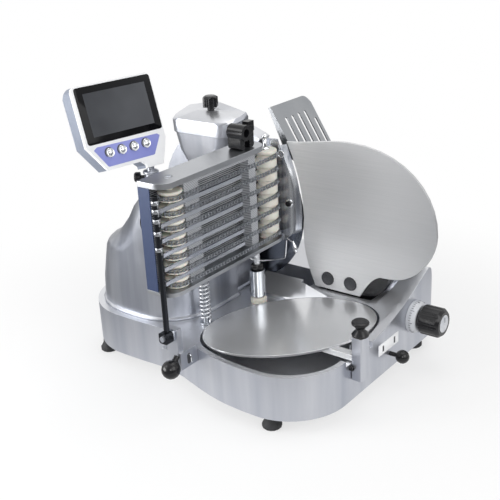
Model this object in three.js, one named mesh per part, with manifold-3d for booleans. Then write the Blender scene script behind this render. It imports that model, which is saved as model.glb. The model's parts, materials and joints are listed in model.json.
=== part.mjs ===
// Automatic food slicer with an upright blade: a cast base and blade tower, a gauge plate with its
// thickness knob, a carriage on a rail, a chain conveyor that carries each slice along, a fork that
// swings it down onto an oval table, a sharpener and a swivelling display.
//
// Millimetres. X points to the operator's wall, Y from the table side to the carriage side, Z up.
import * as THREE from "three";
import { mergeVertices } from "three/addons/utils/BufferGeometryUtils.js";
import Module from "manifold-3d";

const wasm = await Module();
wasm.setup();

// Clearances
const SEAT_GAP = 0.3; // between pieces that rest on each other
const RUN_GAP = 0.6; // round pieces that turn or slide

// Smoothness of round forms
const ARC_STEPS = 7;
const ROUND_STEPS = 24;
const SMALL_STEPS = 14;
const BLADE_STEPS = 44;
const DRUM_STEPS = 10;
const SHAFT_STEPS = 18;

// Base casting
const FOOT_HEIGHT = 30;
const FOOT_NECK_RADIUS = 12.5;
const FOOT_FLARE_RADIUS = 20.5;
// How far each foot's middle stands in from the base's side wall and from its front or rear end
const FRONT_RIGHT_FOOT = [107, 25];
const FRONT_LEFT_FOOT = [70, 82];
const REAR_RIGHT_FOOT = [32, 54];
const REAR_LEFT_FOOT = [82, 54];
const BASE_RIGHT = 315;
const BASE_LEFT = -382;
const BASE_FRONT = -268;
const BASE_REAR = 264;
const FRONT_RIGHT_RADIUS = 130;
const FRONT_LEFT_RADIUS = 150;
const REAR_RADIUS = 42;
const FRONT_STEP = 44; // the wall below the tower stands this far back
const FRONT_WAIST = 48; // and it is drawn in this far beside the tower
const WAIST_X = -95;
const BULGE_X = 150; // where the front wall runs straight again
const RIM_Z = 127;
const BASE_WALL = 12;
const WELL_FLOOR_Z = 84;
const FLOOR_THICKNESS = 7;
const COVER_THICKNESS = 4;
const RAMP_FOOT_Y = -20;
const RAMP_BEND_Y = 80;
const RAMP_BEND_RISE = 10;
const RAMP_TOP_Y = 215;
const RAMP_RISE = 76;
const REAR_SHOULDER_Z = 112;

// Blade
const BLADE_RADIUS = 185;
const BLADE_X = -141;
const BLADE_Z = 300;
const CUT_PLANE_Y = 126; // the plane of the cutting edge
const BLADE_THICKNESS = 6.5;
const BLADE_BEVEL = 22;
const SHAFT_RADIUS = 15;
const HUB_RADIUS = 46;
const BLADE_COVER_RADIUS = 62;
const BEARING_RADIUS = 31;
const BEARING_WIDTH = 22;
const BLADE_PULLEY_RADIUS = 42;
const MOTOR_PULLEY_RADIUS = 27;
const PULLEY_WIDTH = 18;
const PULLEY_SETBACK = 46; // from the bearing
const BELT_THICKNESS = 4;
const BELT_GAP = 1; // off the pulleys, which turn in it
const MOTOR_RADIUS = 56;
const MOTOR_LENGTH = 140;
const MOTOR_OFFSET_X = -46; // from the blade's axis
const MOTOR_DROP = 104;

// Blade tower
const TOWER_LEFT = -370;
const TOWER_RIGHT = -60;
const TOWER_FRONT = -205;
const TOWER_REAR = 88;
const TOWER_TOP_Z = 413;
const TOWER_WALL = 6;
const TOWER_RIGHT_RADIUS = 115;
// The tower's left side: heights, and how far it has come in there
const TOWER_SWEEP = [
  [127, 0], [185, 8], [238, 24], [268, 34], [280, 48],
  [300, 88], [322, 114], [347, 141], [378, 166], [399, 190],
];
const TOWER_ROUNDING = 14;
const TOWER_BEAD = 4; // round the tower's foot
const TOWER_NOTCH_Y = 0; // behind this the tower is narrower, which bares the blade
const TOWER_NOTCH_DEPTH = 18;
const CAP_RADIUS = 27;
const CAP_X = -116;
const CAP_Z = 360;

// Guard ring round the blade and the slice deflector
const GUARD_WIDTH = 17;
const GUARD_GAP = 3; // between blade edge and ring
const GUARD_PLATE = 4;
const GUARD_INNER_RADIUS = 70;
const GUARD_START = 62; // degrees, from the operator's side, counted upward
const GUARD_END = 215;
const DEFLECTOR_THICKNESS = 3;
const DEFLECTOR_BOTTOM_Z = 238;
const DEFLECTOR_TOP_Z = 484;
const DEFLECTOR_CLEARANCE = 8; // beside the gauge plate's corner, which moves past it

// Sharpener behind the tower's top: a bucket that widens upward, with a domed hood
const SHARPENER_X = -196;
const SHARPENER_WALL = 5;
const SHARPENER_SEAT_Z = 392;
const SHARPENER_SEAT_Y = 40; // the tower's top is cut down to the seat behind this
const SHARPENER_SEAM_Z = 478;
const SHARPENER_EDGE_Z = 512;
const SHARPENER_CROWN_Z = 531;
const SHARPENER_PEAK_Z = 545;
const SHARPENER_HALF_WIDTH = 92;
const SHARPENER_FRONT = 55;
const SHARPENER_LEFT_RADIUS = 26;
const SHARPENER_RIGHT_RADIUS = 48;
const SHARPENER_KNOB_X = -187;
const SHARPENER_KNOB_Y = 94;
const SHARPENER_KNOB_RADIUS = 19;
const SHARPENER_KNOB_HEIGHT = 34;
const STONE_RADIUS = 17;
const STONE_ANGLE = 105; // degrees, on the blade's edge

// Gauge plate and its carrier
const GAUGE_THICKNESS = 6;
const GAUGE_GAP = 3; // beside the blade's edge
const GAUGE_RIGHT = 379;
const GAUGE_TOP_Z = 492;
const GAUGE_PEAK_X = 168;
const GAUGE_WIDEST_Z = 317;
const GAUGE_CORNER_X = 5;
const GAUGE_CORNER_Z = 474;
const GAUGE_SHOULDER_Z = 196;
const TAB_LEFT = 74;
const TAB_RIGHT = 194;
const TAB_Z = 138;
const GAUGE_BOLT_RADIUS = 16;
const GAUGE_BOLT_X = [109, 169];
const GAUGE_BOLT_Z = 163.5;
const CARRIER_THICKNESS = 22;
const CARRIER_RIGHT = 262;
const NOTCH_MARGIN = 4;
const NOTCH_LEFT_MARGIN = 20; // room for the plate's slanting edge beside its tab
const NOTCH_SHELF_Z = 134; // below the tab; the carrier's shoe stands deeper
const NOTCH_FLOOR_Z = 121;
const NOTCH_REAR = 178;

// Thickness knob and the small knob on the operator's wall
const KNOB_Y = 144;
const KNOB_Z = 112;
const DIAL_RADIUS = 36;
const DIAL_WIDTH = 20;
const KNOB_RADIUS = 33;
const KNOB_LENGTH = 54;
const KNOB_SHAFT_RADIUS = 9;
const WALL_BALL_Y = 42;
const WALL_BALL_Z = 66;
const WALL_BALL_RADIUS = 15;

// Chain conveyor
const CHAIN_X = -10;
const DRIVE_Y = 61;
const CHAIN_SPAN = 313;
const CHAIN_ROWS = 7;
const ROW_PITCH = 30.3;
const FIRST_ROW_RISE = 9; // from the bottom plate to the middle of the first row
const DRUM_RADIUS = 21;
const DRUM_CORE_RADIUS = 11;
const DRUM_RING_HEIGHT = 14;
const DRUM_SHAFT_RADIUS = 7;
const DRUM_FLANGE = 7;
const DRIVE_FLANGE_RADIUS = 26;
const CHAIN_LIFT = 2.4; // the straight links stand off the round drum
const CHAIN_THICKNESS = 4.5;
const CHAIN_HEIGHT = 11;
const CHAIN_WAIST = 7;
const CHAIN_LINKS = 16;
const SPIKE_LENGTH = 3;
const SPIKE_RADIUS = 1.8;
const FRAME_BOTTOM_Z = 257;
const BOTTOM_PLATE = 8;
const TOP_PLATE = 12;
const TOP_PLATE_GAP = 26; // from the middle of the last row to the top plate
const PLATE_FRONT_X = 22;
const PLATE_BACK_X = -46;
const PLATE_END = 51; // from the idler's axis to the plates' left end
const WEB_THICKNESS = 2;
const SPACER_SETBACK = 51; // from the idler's axis
const SPACER_LENGTH = 44;
const COLUMN_SETBACK = 64; // from the drive's axis
const COLUMN_LENGTH = 24;
const SPACER_DEPTH = 22;
const CLAMP_SETBACK = 83; // from the drive's axis
const CLAMP_LENGTH = 46;
const CLAMP_DEPTH = 34;
const CLAMP_HEIGHT = 46;
const CLAMP_BORE_RADIUS = 9;

// Posts under the conveyor
const COUPLING_X = -2;
const COUPLING_SETBACK = 59; // from the drive's axis
const COUPLING_RADIUS = 14;
const COUPLING_HEIGHT = 62;
const COUPLING_ROD_RADIUS = 5;
const COLLAR_RADIUS = 19;
const COLLAR_HEIGHT = 13;
const SPRING_X = -31;
const SPRING_SETBACK = 102; // from the idler's axis
const SPRING_ROD_RADIUS = 6.5;
const SPRING_FLANGE_RADIUS = 14;
const SPRING_FLANGE = 5;
const SPRING_RADIUS = 11;
const SPRING_WIRE = 3.4;
const SPRING_CURLS = 12;

// Throw-off fork
const FORK_X = 8;
const FORK_PIVOT_Z = 178;
const FORK_GAP = 11; // from the plates' left end to the bar's middle
const FINGER_LIFT = 2; // above the middle between two chains
const FORK_BAR_RADIUS = 6;
const FORK_BAR_TOP_Z = 474;
const FORK_REACH = 260;
const FINGER_HEIGHT = 8;
const FINGER_THICKNESS = 4;
const FORK_HUB = 24;
const FORK_PIN_RADIUS = 6;
const BRACKET_X = [-24, 28];
const BRACKET_Z = [100, 138];
const FORK_BALL_RADIUS = 20;
const FORK_BALL_REACH = 30;
const FORK_STEM_RADIUS = 6;

// Oval table
const TABLE_X = 137;
const TABLE_Y = -70;
const TABLE_LONG = 191;
const TABLE_SHORT = 126;
const TABLE_TURN = 53; // degrees between its long axis and X
const TABLE_TOP_Z = 134;
const TABLE_THICKNESS = 5;
const WELL_MARGIN = 6;
const BOWL_MARGIN = 146; // the ramp sinks towards the table within this
const BOWL_RISE = 77;
const WELL_LEFT = 62;
const ARM_Y = -100;
const ARM_WIDTH = 20;
const ARM_HEIGHT = 11;
const RIM_CUT = [34, 68]; // open rim before and behind the arm, for the table's travel
const STAND_DEPTH = 24;
const STAND_WIDTH = 32;
const STAND_Z = [79, 174];
const LOCK_RADIUS = 18;
const LOCK_WAIST = 9.5;
const LOCK_HEIGHT = 33;

// Carriage
const TRAY_LEAN = 31.7; // degrees between its wall and the upright
const TRAY_FRONT = 131;
const TRAY_REAR = 278;
const TRAY_TOP = [-43.5, 545];
const TRAY_WALL_LENGTH = 330;
const TRAY_FLOOR_LENGTH = 150;
const TRAY_SHEET = 3;
const TRAY_CORNER = [24, 22]; // how far the rear upper corner is drawn in, across and down
const SLOT_COUNT = 5;
const SLOT_FIRST_Y = 164;
const SLOT_PITCH = 25;
const SLOT_WIDTH = 8.5;
const SLOT_START = 34;
const SLOT_LENGTH = 230;
const ARM_PLATE = 11;
const RAIL_RADIUS = 12;
const RAIL_Y = 300;
const RAIL_Z = 118;
const RAIL_BLOCK = 32;
const SLIDER_X = [60, 196];
const PUSHER_SIZE = 96;
const PUSHER_THICKNESS = 8;
const PUSHER_ROD_RADIUS = 6;

// Display on its post
const POST_X = -148;
const POST_Y = -159;
const POST_RADIUS = 14;
const POST_HEIGHT = 47;
const SCREW_RISE = 34;
const PIVOT_RADIUS = 8;
const PIVOT_HEIGHT = 30;
const DISPLAY_TURN = 79.7; // degrees between its width and X
const DISPLAY_TILT = 17.1;
const DISPLAY_WIDTH = 192;
const DISPLAY_OVERHANG = 45; // to the right of the post's axis
const DISPLAY_TOP = 199.5; // above the post
const DISPLAY_BOTTOM = 24;
const DISPLAY_NECK = [-18, 23]; // its sides, from the post's axis
const DISPLAY_TAB = 8; // lower end of the neck, above the post
const DISPLAY_DEPTH = 40;
const BEZEL_THICKNESS = 8;
const DISPLAY_RADIUS = 12;
const CHAMFER = [36, 53];
const SCREEN_MARGIN = { left: 10, right: 3, top: 5.5 };
const SCREEN_HEIGHT = 112;
const SCREEN_DEPTH = 3;
const KEY_COUNT = 4;
const KEY_RADIUS = 10;
const KEY_PITCH = 30.2;
const KEY_FIRST = 49.6; // from the display's left edge
const KEY_RISE = 34; // above its lower edge
const KEY_PROUD = 3;

const LAST_ROW_RISE = FIRST_ROW_RISE + ROW_PITCH * (CHAIN_ROWS - 1);
const FIRST_ROW_Z = FRAME_BOTTOM_Z + BOTTOM_PLATE + FIRST_ROW_RISE;
const LAST_ROW_Z = FRAME_BOTTOM_Z + BOTTOM_PLATE + LAST_ROW_RISE;
const TOP_PLATE_Z = LAST_ROW_Z + TOP_PLATE_GAP;
const IDLER_Y = DRIVE_Y - CHAIN_SPAN;
const PLATE_LEFT_Y = IDLER_Y - PLATE_END;
const TOP_PLATE_RIGHT_Y = DRIVE_Y - DRIVE_FLANGE_RADIUS - 2;
const SPACER_Y = IDLER_Y + SPACER_SETBACK;
const COLUMN_Y = DRIVE_Y - COLUMN_SETBACK;
const CLAMP_Y = DRIVE_Y - CLAMP_SETBACK;
const COUPLING_Y = DRIVE_Y - COUPLING_SETBACK;
const SPRING_Y = IDLER_Y + SPRING_SETBACK;
const FORK_BAR_Y = PLATE_LEFT_Y - FORK_GAP;
const RAMP_TOP_Z = RIM_Z + RAMP_RISE;
const BLADE_FRONT_Y = CUT_PLANE_Y - BLADE_THICKNESS;
const PULLEY_Y = TOWER_REAR - BEARING_WIDTH - PULLEY_SETBACK;
const GUARD_RADIUS = BLADE_RADIUS + GUARD_GAP + GUARD_WIDTH;
const TRAY_TURN = THREE.MathUtils.degToRad(TRAY_LEAN);

// Materials
function finish(color, roughness, metalness) {
  return new THREE.MeshStandardMaterial({ color, roughness, metalness });
}
const castAluminium = finish(0xc3c6cb, 0.42, 0.75);
const brushedSteel = finish(0xb9bcc0, 0.34, 0.9);
const polishedSteel = finish(0xd6d9dd, 0.14, 1);
const darkSteel = finish(0x5b6270, 0.35, 0.9);
const ivoryPlastic = finish(0xe9e4d2, 0.5, 0);
const blackPlastic = finish(0x151517, 0.28, 0);
const blackRubber = finish(0x1b1b1c, 0.85, 0);
const greyPlastic = finish(0xd5d8de, 0.45, 0.1);
const screenGlass = finish(0x2a2c2f, 0.08, 0);
const abrasive = finish(0x8f6f5c, 0.95, 0);

// A three.js geometry as a solid for joining and cutting, with its faces pointing out.
function solid(geometry) {
  geometry.deleteAttribute("normal");
  geometry.deleteAttribute("uv");
  const merged = mergeVertices(geometry, 1e-4);
  const vertProperties = Float32Array.from(merged.attributes.position.array);
  const corners = merged.index.array;
  const faces = [];
  let volume = 0;
  const [a, b, c] = [new THREE.Vector3(), new THREE.Vector3(), new THREE.Vector3()];
  for (let i = 0; i < corners.length; i += 3) {
    const face = [corners[i], corners[i + 1], corners[i + 2]];
    if (new Set(face).size < 3) continue;
    [a, b, c].forEach((corner, k) => corner.fromArray(vertProperties, face[k] * 3));
    volume += a.dot(b.cross(c));
    faces.push(face);
  }
  const ordered = volume < 0 ? faces.map((face) => face.reverse()) : faces;
  const triVerts = Uint32Array.from(ordered.flat());
  return new wasm.Manifold(new wasm.Mesh({ numProp: 3, vertProperties, triVerts }));
}

function join(...solids) {
  return solids.reduce((whole, piece) => whole.add(piece));
}

function cut(whole, ...tools) {
  return tools.reduce((rest, tool) => rest.subtract(tool), whole);
}

// The named mesh of a solid.
function piece(name, shape, material) {
  const { vertProperties, triVerts } = shape.getMesh();
  const geometry = new THREE.BufferGeometry();
  geometry.setAttribute("position", new THREE.BufferAttribute(vertProperties, 3));
  geometry.setIndex(new THREE.BufferAttribute(triVerts, 1));
  geometry.computeVertexNormals();
  const mesh = new THREE.Mesh(geometry, material);
  mesh.name = name;
  return mesh;
}

const X_AXIS = new THREE.Vector3(1, 0, 0);
const Y_AXIS = new THREE.Vector3(0, 1, 0);
const Z_AXIS = new THREE.Vector3(0, 0, 1);
// Where a drawn outline's x, its y and its depth go, for each direction of the depth.
const PRISM_FRAMES = {
  x: new THREE.Matrix4().makeBasis(Y_AXIS, Z_AXIS, X_AXIS),
  y: new THREE.Matrix4().makeBasis(X_AXIS, Z_AXIS, Y_AXIS),
  z: new THREE.Matrix4(),
};
// Where a lathe's own frame, which turns about its y, goes for each axis.
const LATHE_FRAMES = {
  x: new THREE.Matrix4().makeBasis(Y_AXIS, X_AXIS, Z_AXIS),
  y: new THREE.Matrix4(),
  z: new THREE.Matrix4().makeBasis(X_AXIS, Z_AXIS, Y_AXIS),
};

function prism(outline, from, to, axis = "z", steps = ARC_STEPS) {
  const settings = { depth: to - from, bevelEnabled: false, curveSegments: steps };
  const geometry = new THREE.ExtrudeGeometry(outline, settings);
  geometry.translate(0, 0, from);
  return solid(geometry.applyMatrix4(PRISM_FRAMES[axis]));
}

// A closed profile of [radius, height] points turned about an axis through a centre.
function turned(profile, axis = "z", centre = [0, 0, 0], steps = ROUND_STEPS) {
  const points = [...profile, profile[0]].map(([radius, height]) => new THREE.Vector2(radius, height));
  const geometry = new THREE.LatheGeometry(points, steps).applyMatrix4(LATHE_FRAMES[axis]);
  return solid(geometry.translate(...centre));
}

function rod(radius, from, to, axis, centre, steps = SMALL_STEPS) {
  return turned([[0, from], [radius, from], [radius, to], [0, to]], axis, centre, steps);
}

function block([x0, x1], [y0, y1], [z0, z1]) {
  const geometry = new THREE.BoxGeometry(x1 - x0, y1 - y0, z1 - z0);
  return solid(geometry.translate((x0 + x1) / 2, (y0 + y1) / 2, (z0 + z1) / 2));
}

function polygon(points) {
  return new THREE.Shape(points.map(([x, y]) => new THREE.Vector2(x, y)));
}

function roundedRectangle([x0, x1], [y0, y1], radius) {
  const outline = new THREE.Shape();
  outline.absarc(x1 - radius, y1 - radius, radius, 0, Math.PI / 2);
  outline.absarc(x0 + radius, y1 - radius, radius, Math.PI / 2, Math.PI);
  outline.absarc(x0 + radius, y0 + radius, radius, Math.PI, Math.PI * 1.5);
  outline.absarc(x1 - radius, y0 + radius, radius, Math.PI * 1.5, Math.PI * 2);
  return outline;
}

// A closed skin through rings of equal point count, with the triangles of both ends.
function stitch(rings, firstCap, lastCap) {
  const count = rings[0].length;
  const faces = [];
  for (let ring = 0; ring + 1 < rings.length; ring += 1) {
    for (let i = 0; i < count; i += 1) {
      const here = ring * count + i;
      const next = ring * count + ((i + 1) % count);
      faces.push(here, next, next + count, here, next + count, here + count);
    }
  }
  const last = (rings.length - 1) * count;
  firstCap.forEach(([a, b, c]) => faces.push(a, c, b));
  lastCap.forEach(([a, b, c]) => faces.push(last + a, last + b, last + c));
  const geometry = new THREE.BufferGeometry().setFromPoints(rings.flat());
  geometry.setIndex(faces);
  return solid(geometry);
}

function fan(count) {
  return Array.from({ length: count - 2 }, (_, i) => [0, i + 1, i + 2]);
}

// A skin through outlines that lie one above the other.
function loft(rings) {
  const cap = (ring) => {
    const flat = ring.map((point) => new THREE.Vector2(point.x, point.y));
    return THREE.ShapeUtils.triangulateShape(flat, []);
  };
  return stitch(rings, cap(rings[0]), cap(rings.at(-1)));
}

// Points on an arc, both ends included, in degrees.
function arcPoints(x, y, radius, from, to, steps) {
  return Array.from({ length: steps + 1 }, (_, i) => {
    const angle = THREE.MathUtils.degToRad(from + ((to - from) * i) / steps);
    return new THREE.Vector2(x + radius * Math.cos(angle), y + radius * Math.sin(angle));
  });
}

// Base

function baseOutline(inset) {
  const right = BASE_RIGHT - inset;
  const left = BASE_LEFT + inset;
  const rear = BASE_REAR - inset;
  const front = BASE_FRONT + inset;
  const rearRadius = REAR_RADIUS - inset;
  const rightRadius = FRONT_RIGHT_RADIUS - inset;
  const leftRadius = FRONT_LEFT_RADIUS - inset;
  const towerFront = front + FRONT_STEP;
  const waist = front + FRONT_WAIST;
  const rightEnd = right - rightRadius;
  const leftEnd = left + leftRadius;
  const outline = new THREE.Shape();
  outline.absarc(right - rearRadius, rear - rearRadius, rearRadius, 0, Math.PI / 2);
  outline.absarc(left + rearRadius, rear - rearRadius, rearRadius, Math.PI / 2, Math.PI);
  outline.absarc(leftEnd, towerFront + leftRadius, leftRadius, Math.PI, Math.PI * 1.5);
  outline.bezierCurveTo(leftEnd + 90, towerFront, WAIST_X - 50, waist, WAIST_X, waist);
  outline.bezierCurveTo(WAIST_X + 65, waist, BULGE_X - 110, front, BULGE_X, front);
  outline.absarc(rightEnd, front + rightRadius, rightRadius, Math.PI * 1.5, Math.PI * 2);
  return outline;
}

// Side view of the base: level rim, ramp towards the carriage, rear face.
function baseProfile() {
  const beyond = 60;
  const outline = new THREE.Shape();
  outline.moveTo(BASE_FRONT - beyond, FOOT_HEIGHT);
  outline.lineTo(BASE_REAR + beyond, FOOT_HEIGHT);
  outline.lineTo(BASE_REAR + beyond, REAR_SHOULDER_Z);
  outline.lineTo(BASE_REAR, REAR_SHOULDER_Z);
  outline.lineTo(RAMP_TOP_Y + 16, RAMP_TOP_Z - 14);
  outline.quadraticCurveTo(RAMP_TOP_Y + 8, RAMP_TOP_Z + 3, RAMP_TOP_Y - 8, RAMP_TOP_Z - 5);
  outline.quadraticCurveTo(RAMP_BEND_Y, RIM_Z + RAMP_BEND_RISE, RAMP_FOOT_Y, RIM_Z);
  outline.lineTo(BASE_FRONT - beyond, RIM_Z);
  return outline;
}

function tableOutline(margin) {
  const outline = new THREE.Shape();
  const turn = THREE.MathUtils.degToRad(TABLE_TURN);
  const long = TABLE_LONG + margin;
  const short = TABLE_SHORT + margin;
  outline.absellipse(TABLE_X, TABLE_Y, long, short, 0, Math.PI * 2, false, turn);
  return outline;
}

// The space in the ramp for the gauge plate's carrier, rounded towards the operator like the carrier.
function carrierNotch() {
  const right = CARRIER_RIGHT + NOTCH_MARGIN;
  const left = TAB_LEFT - NOTCH_LEFT_MARGIN;
  const outline = new THREE.Shape();
  outline.moveTo(left, NOTCH_SHELF_Z);
  outline.lineTo(TAB_RIGHT + 11, NOTCH_SHELF_Z);
  outline.quadraticCurveTo(right, NOTCH_SHELF_Z, right, GAUGE_SHOULDER_Z);
  outline.lineTo(right, RAMP_TOP_Z + 20);
  outline.lineTo(left, RAMP_TOP_Z + 20);
  const track = block(
    [TAB_LEFT + 8, CARRIER_RIGHT - 40], [CUT_PLANE_Y - 4, NOTCH_REAR], [NOTCH_FLOOR_Z, NOTCH_SHELF_Z + 5],
  );
  return join(prism(outline, CUT_PLANE_Y - 34, NOTCH_REAR, "y"), track);
}

// The hollow that leads from the ramp down to the table's edge.
function tableBowl() {
  const level = (margin, z) =>
    tableOutline(margin).getPoints(24).slice(0, -1).map(({ x, y }) => new THREE.Vector3(x, y, z));
  const from = TABLE_TOP_Z - 2;
  return loft([level(WELL_MARGIN, from), level(BOWL_MARGIN, from + BOWL_RISE)]);
}

function baseCasting() {
  const above = RAMP_TOP_Z + 20;
  const slotFront = TOWER_REAR + 14;
  const slotRear = CUT_PLANE_Y + 12;
  const slotFloor = BLADE_Z - BLADE_RADIUS - 9;
  const roof = WELL_FLOOR_Z - FLOOR_THICKNESS;
  const inside = (from, to) => prism(baseOutline(BASE_WALL), from, to);
  const body = prism(baseOutline(0), FOOT_HEIGHT, above).intersect(
    prism(baseProfile(), BASE_LEFT - 10, BASE_RIGHT + 10, "x"),
  );
  const deck = block([BASE_LEFT - 10, TOWER_RIGHT + 8], [BASE_FRONT - 10, slotFront], [RIM_Z, above]);
  const landingRear = COUPLING_Y + COLLAR_RADIUS + 12;
  const landing = block([TOWER_RIGHT, WELL_LEFT + 40], [BASE_FRONT - 10, landingRear], [RIM_Z, above]);
  const slotEnds = [BLADE_X - GUARD_RADIUS - 4, BLADE_X + BLADE_RADIUS + 18];
  const bladeSlot = block(slotEnds, [slotFront, slotRear], [slotFloor, above]);
  const openFront = block([WELL_LEFT, BASE_RIGHT], [BASE_FRONT, TABLE_Y], [WELL_FLOOR_Z, above]);
  const oval = prism(tableOutline(WELL_MARGIN), WELL_FLOOR_Z, above, "z", 24);
  const well = inside(WELL_FLOOR_Z, above).intersect(join(oval, openFront));
  const cutEnds = [ARM_Y - RIM_CUT[0], ARM_Y + RIM_CUT[1]];
  const cutFloor = TABLE_TOP_Z - TABLE_THICKNESS - ARM_HEIGHT - 3;
  const rimCut = block([BASE_RIGHT - 30, BASE_RIGHT + 5], cutEnds, [cutFloor, above]);
  const low = inside(FOOT_HEIGHT - 5, roof);
  const underTower = inside(FOOT_HEIGHT, RIM_Z - FLOOR_THICKNESS).intersect(
    block([BASE_LEFT, TOWER_RIGHT - 6], [BASE_FRONT, slotFront - FLOOR_THICKNESS], [FOOT_HEIGHT, above]),
  );
  const rampInside = [NOTCH_REAR + FLOOR_THICKNESS, BASE_REAR - BASE_WALL - 8];
  const underRamp = inside(FOOT_HEIGHT, REAR_SHOULDER_Z + 38).intersect(
    block([BASE_LEFT, BASE_RIGHT], rampInside, [FOOT_HEIGHT, above]),
  );
  const hollows = [deck, landing, bladeSlot, well, tableBowl(), carrierNotch(), low, underTower, underRamp];
  return cut(body, rimCut, ...hollows);
}

function bottomCover() {
  return prism(baseOutline(BASE_WALL + SEAT_GAP), FOOT_HEIGHT, FOOT_HEIGHT + COVER_THICKNESS);
}

function foot(x, y) {
  const top = FOOT_HEIGHT - SEAT_GAP;
  return turned([
    [0, 0],
    [FOOT_FLARE_RADIUS - 3, 0],
    [FOOT_FLARE_RADIUS, 3],
    [FOOT_FLARE_RADIUS, top * 0.3],
    [FOOT_FLARE_RADIUS - 3, top * 0.45],
    [FOOT_NECK_RADIUS + 1, top * 0.7],
    [FOOT_NECK_RADIUS, top],
    [0, top],
  ], "z", [x, y, 0], SMALL_STEPS);
}

// Tower

function towerLeft(z) {
  const above = TOWER_SWEEP.findIndex(([height]) => height >= z);
  if (above === -1) return TOWER_LEFT + TOWER_SWEEP.at(-1)[1];
  if (above === 0) return TOWER_LEFT;
  const [from, to] = [TOWER_SWEEP[above - 1], TOWER_SWEEP[above]];
  return TOWER_LEFT + THREE.MathUtils.mapLinear(z, from[0], to[0], from[1], to[1]);
}

function towerRing(z, inset, level = z) {
  const right = TOWER_RIGHT - inset;
  const left = towerLeft(z) + inset;
  const front = TOWER_FRONT + inset;
  const rear = TOWER_REAR - inset;
  const wide = TOWER_RIGHT - towerLeft(z);
  const rightRadius = Math.min(TOWER_RIGHT_RADIUS, wide * 0.5) - inset;
  const leftRadius = wide * 0.45 - inset;
  const notchX = right - TOWER_NOTCH_DEPTH;
  const notchY = TOWER_NOTCH_Y - inset;
  const outline = [
    ...arcPoints(left + leftRadius, front + leftRadius, leftRadius, 180, 270, 6),
    ...arcPoints(right - rightRadius, front + rightRadius, rightRadius, 270, 360, 6),
    new THREE.Vector2(right, notchY),
    new THREE.Vector2(notchX, notchY),
    new THREE.Vector2(notchX, rear),
    new THREE.Vector2(left, rear),
  ];
  return outline.map((point) => new THREE.Vector3(point.x, point.y, level));
}

function towerForm(inset, bottom, top, bead = 0) {
  const sweep = TOWER_SWEEP.slice(1, -1).map(([height]) => height);
  const rounding = [TOWER_ROUNDING, TOWER_ROUNDING / 3, 0];
  return loft([
    towerRing(bottom, inset - bead),
    towerRing(bottom + TOWER_BEAD, inset - bead),
    towerRing(bottom + 2 * TOWER_BEAD, inset),
    ...sweep.map((z) => towerRing(z, inset)),
    ...rounding.map((drop, i) => towerRing(top - drop, inset + [0, 4, TOWER_ROUNDING][i])),
  ]);
}

function towerHousing() {
  const bottom = RIM_Z + SEAT_GAP;
  const axis = [BLADE_X, 0, BLADE_Z];
  const shell = cut(
    towerForm(0, bottom, TOWER_TOP_Z, TOWER_BEAD),
    towerForm(TOWER_WALL, bottom - 5, TOWER_TOP_Z - TOWER_WALL),
  );
  const bossFront = TOWER_REAR - BEARING_WIDTH - 2 * TOWER_WALL;
  const ends = [bossFront + TOWER_WALL, TOWER_REAR + 5];
  const boss = rod(BEARING_RADIUS + 12, bossFront, TOWER_REAR - 1, "y", axis);
  const seat = rod(BEARING_RADIUS + SEAT_GAP, ends[0], ends[1], "y", axis, SHAFT_STEPS);
  const shaftHole = rod(SHAFT_RADIUS + 4, bossFront - 5, TOWER_REAR, "y", axis, SHAFT_STEPS);
  const sharpenerSeat = block(
    [TOWER_LEFT, TOWER_RIGHT], [SHARPENER_SEAT_Y, TOWER_REAR + 5], [SHARPENER_SEAT_Z, TOWER_TOP_Z + 5],
  );
  return cut(join(shell, boss), seat, shaftHole, sharpenerSeat);
}

function towerCap() {
  const profile = [[0, 0], [CAP_RADIUS, 0], [CAP_RADIUS, 36], [CAP_RADIUS - 5, 41], [0, 46]];
  const disc = turned(profile.map(([r, h]) => [r, -h]), "y", [CAP_X, TOWER_FRONT + 30, CAP_Z]);
  return cut(disc, towerForm(-SEAT_GAP, RIM_Z, TOWER_TOP_Z));
}

// Blade and its drive

function blade() {
  const bore = SHAFT_RADIUS + 5 + SEAT_GAP;
  const bevelStart = BLADE_RADIUS - BLADE_BEVEL;
  return turned([
    [bore, BLADE_FRONT_Y],
    [bevelStart - 10, BLADE_FRONT_Y],
    [BLADE_RADIUS, CUT_PLANE_Y - 0.6],
    [BLADE_RADIUS, CUT_PLANE_Y],
    [bevelStart, CUT_PLANE_Y - 1.5],
    [bore, CUT_PLANE_Y - 1.5],
  ], "y", [BLADE_X, 0, BLADE_Z], BLADE_STEPS);
}

function shaftProfile() {
  const flangeEnd = BLADE_FRONT_Y - SEAT_GAP;
  const coverStart = CUT_PLANE_Y - 1.5 + SEAT_GAP;
  const pulleyEnd = PULLEY_Y + PULLEY_WIDTH;
  return [
    [0, PULLEY_Y - 5],
    [SHAFT_RADIUS, PULLEY_Y - 5],
    [SHAFT_RADIUS, PULLEY_Y],
    [BLADE_PULLEY_RADIUS, PULLEY_Y],
    [BLADE_PULLEY_RADIUS, pulleyEnd],
    [SHAFT_RADIUS, pulleyEnd],
    [SHAFT_RADIUS, flangeEnd - 13],
    [HUB_RADIUS, flangeEnd - 13],
    [HUB_RADIUS, flangeEnd],
    [SHAFT_RADIUS + 5, flangeEnd],
    [SHAFT_RADIUS + 5, coverStart],
    [BLADE_COVER_RADIUS, coverStart],
    [BLADE_COVER_RADIUS - 3, coverStart + 3],
    [0, coverStart + 3],
  ];
}

function bladeShaft() {
  return turned(shaftProfile(), "y", [BLADE_X, 0, BLADE_Z], SHAFT_STEPS);
}

function bladeBearing() {
  const inner = SHAFT_RADIUS + SEAT_GAP;
  const from = TOWER_REAR - BEARING_WIDTH - TOWER_WALL + SEAT_GAP;
  const to = from + BEARING_WIDTH;
  const profile = [[inner, from], [BEARING_RADIUS, from], [BEARING_RADIUS, to], [inner, to]];
  return turned(profile, "y", [BLADE_X, 0, BLADE_Z], SHAFT_STEPS);
}

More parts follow.
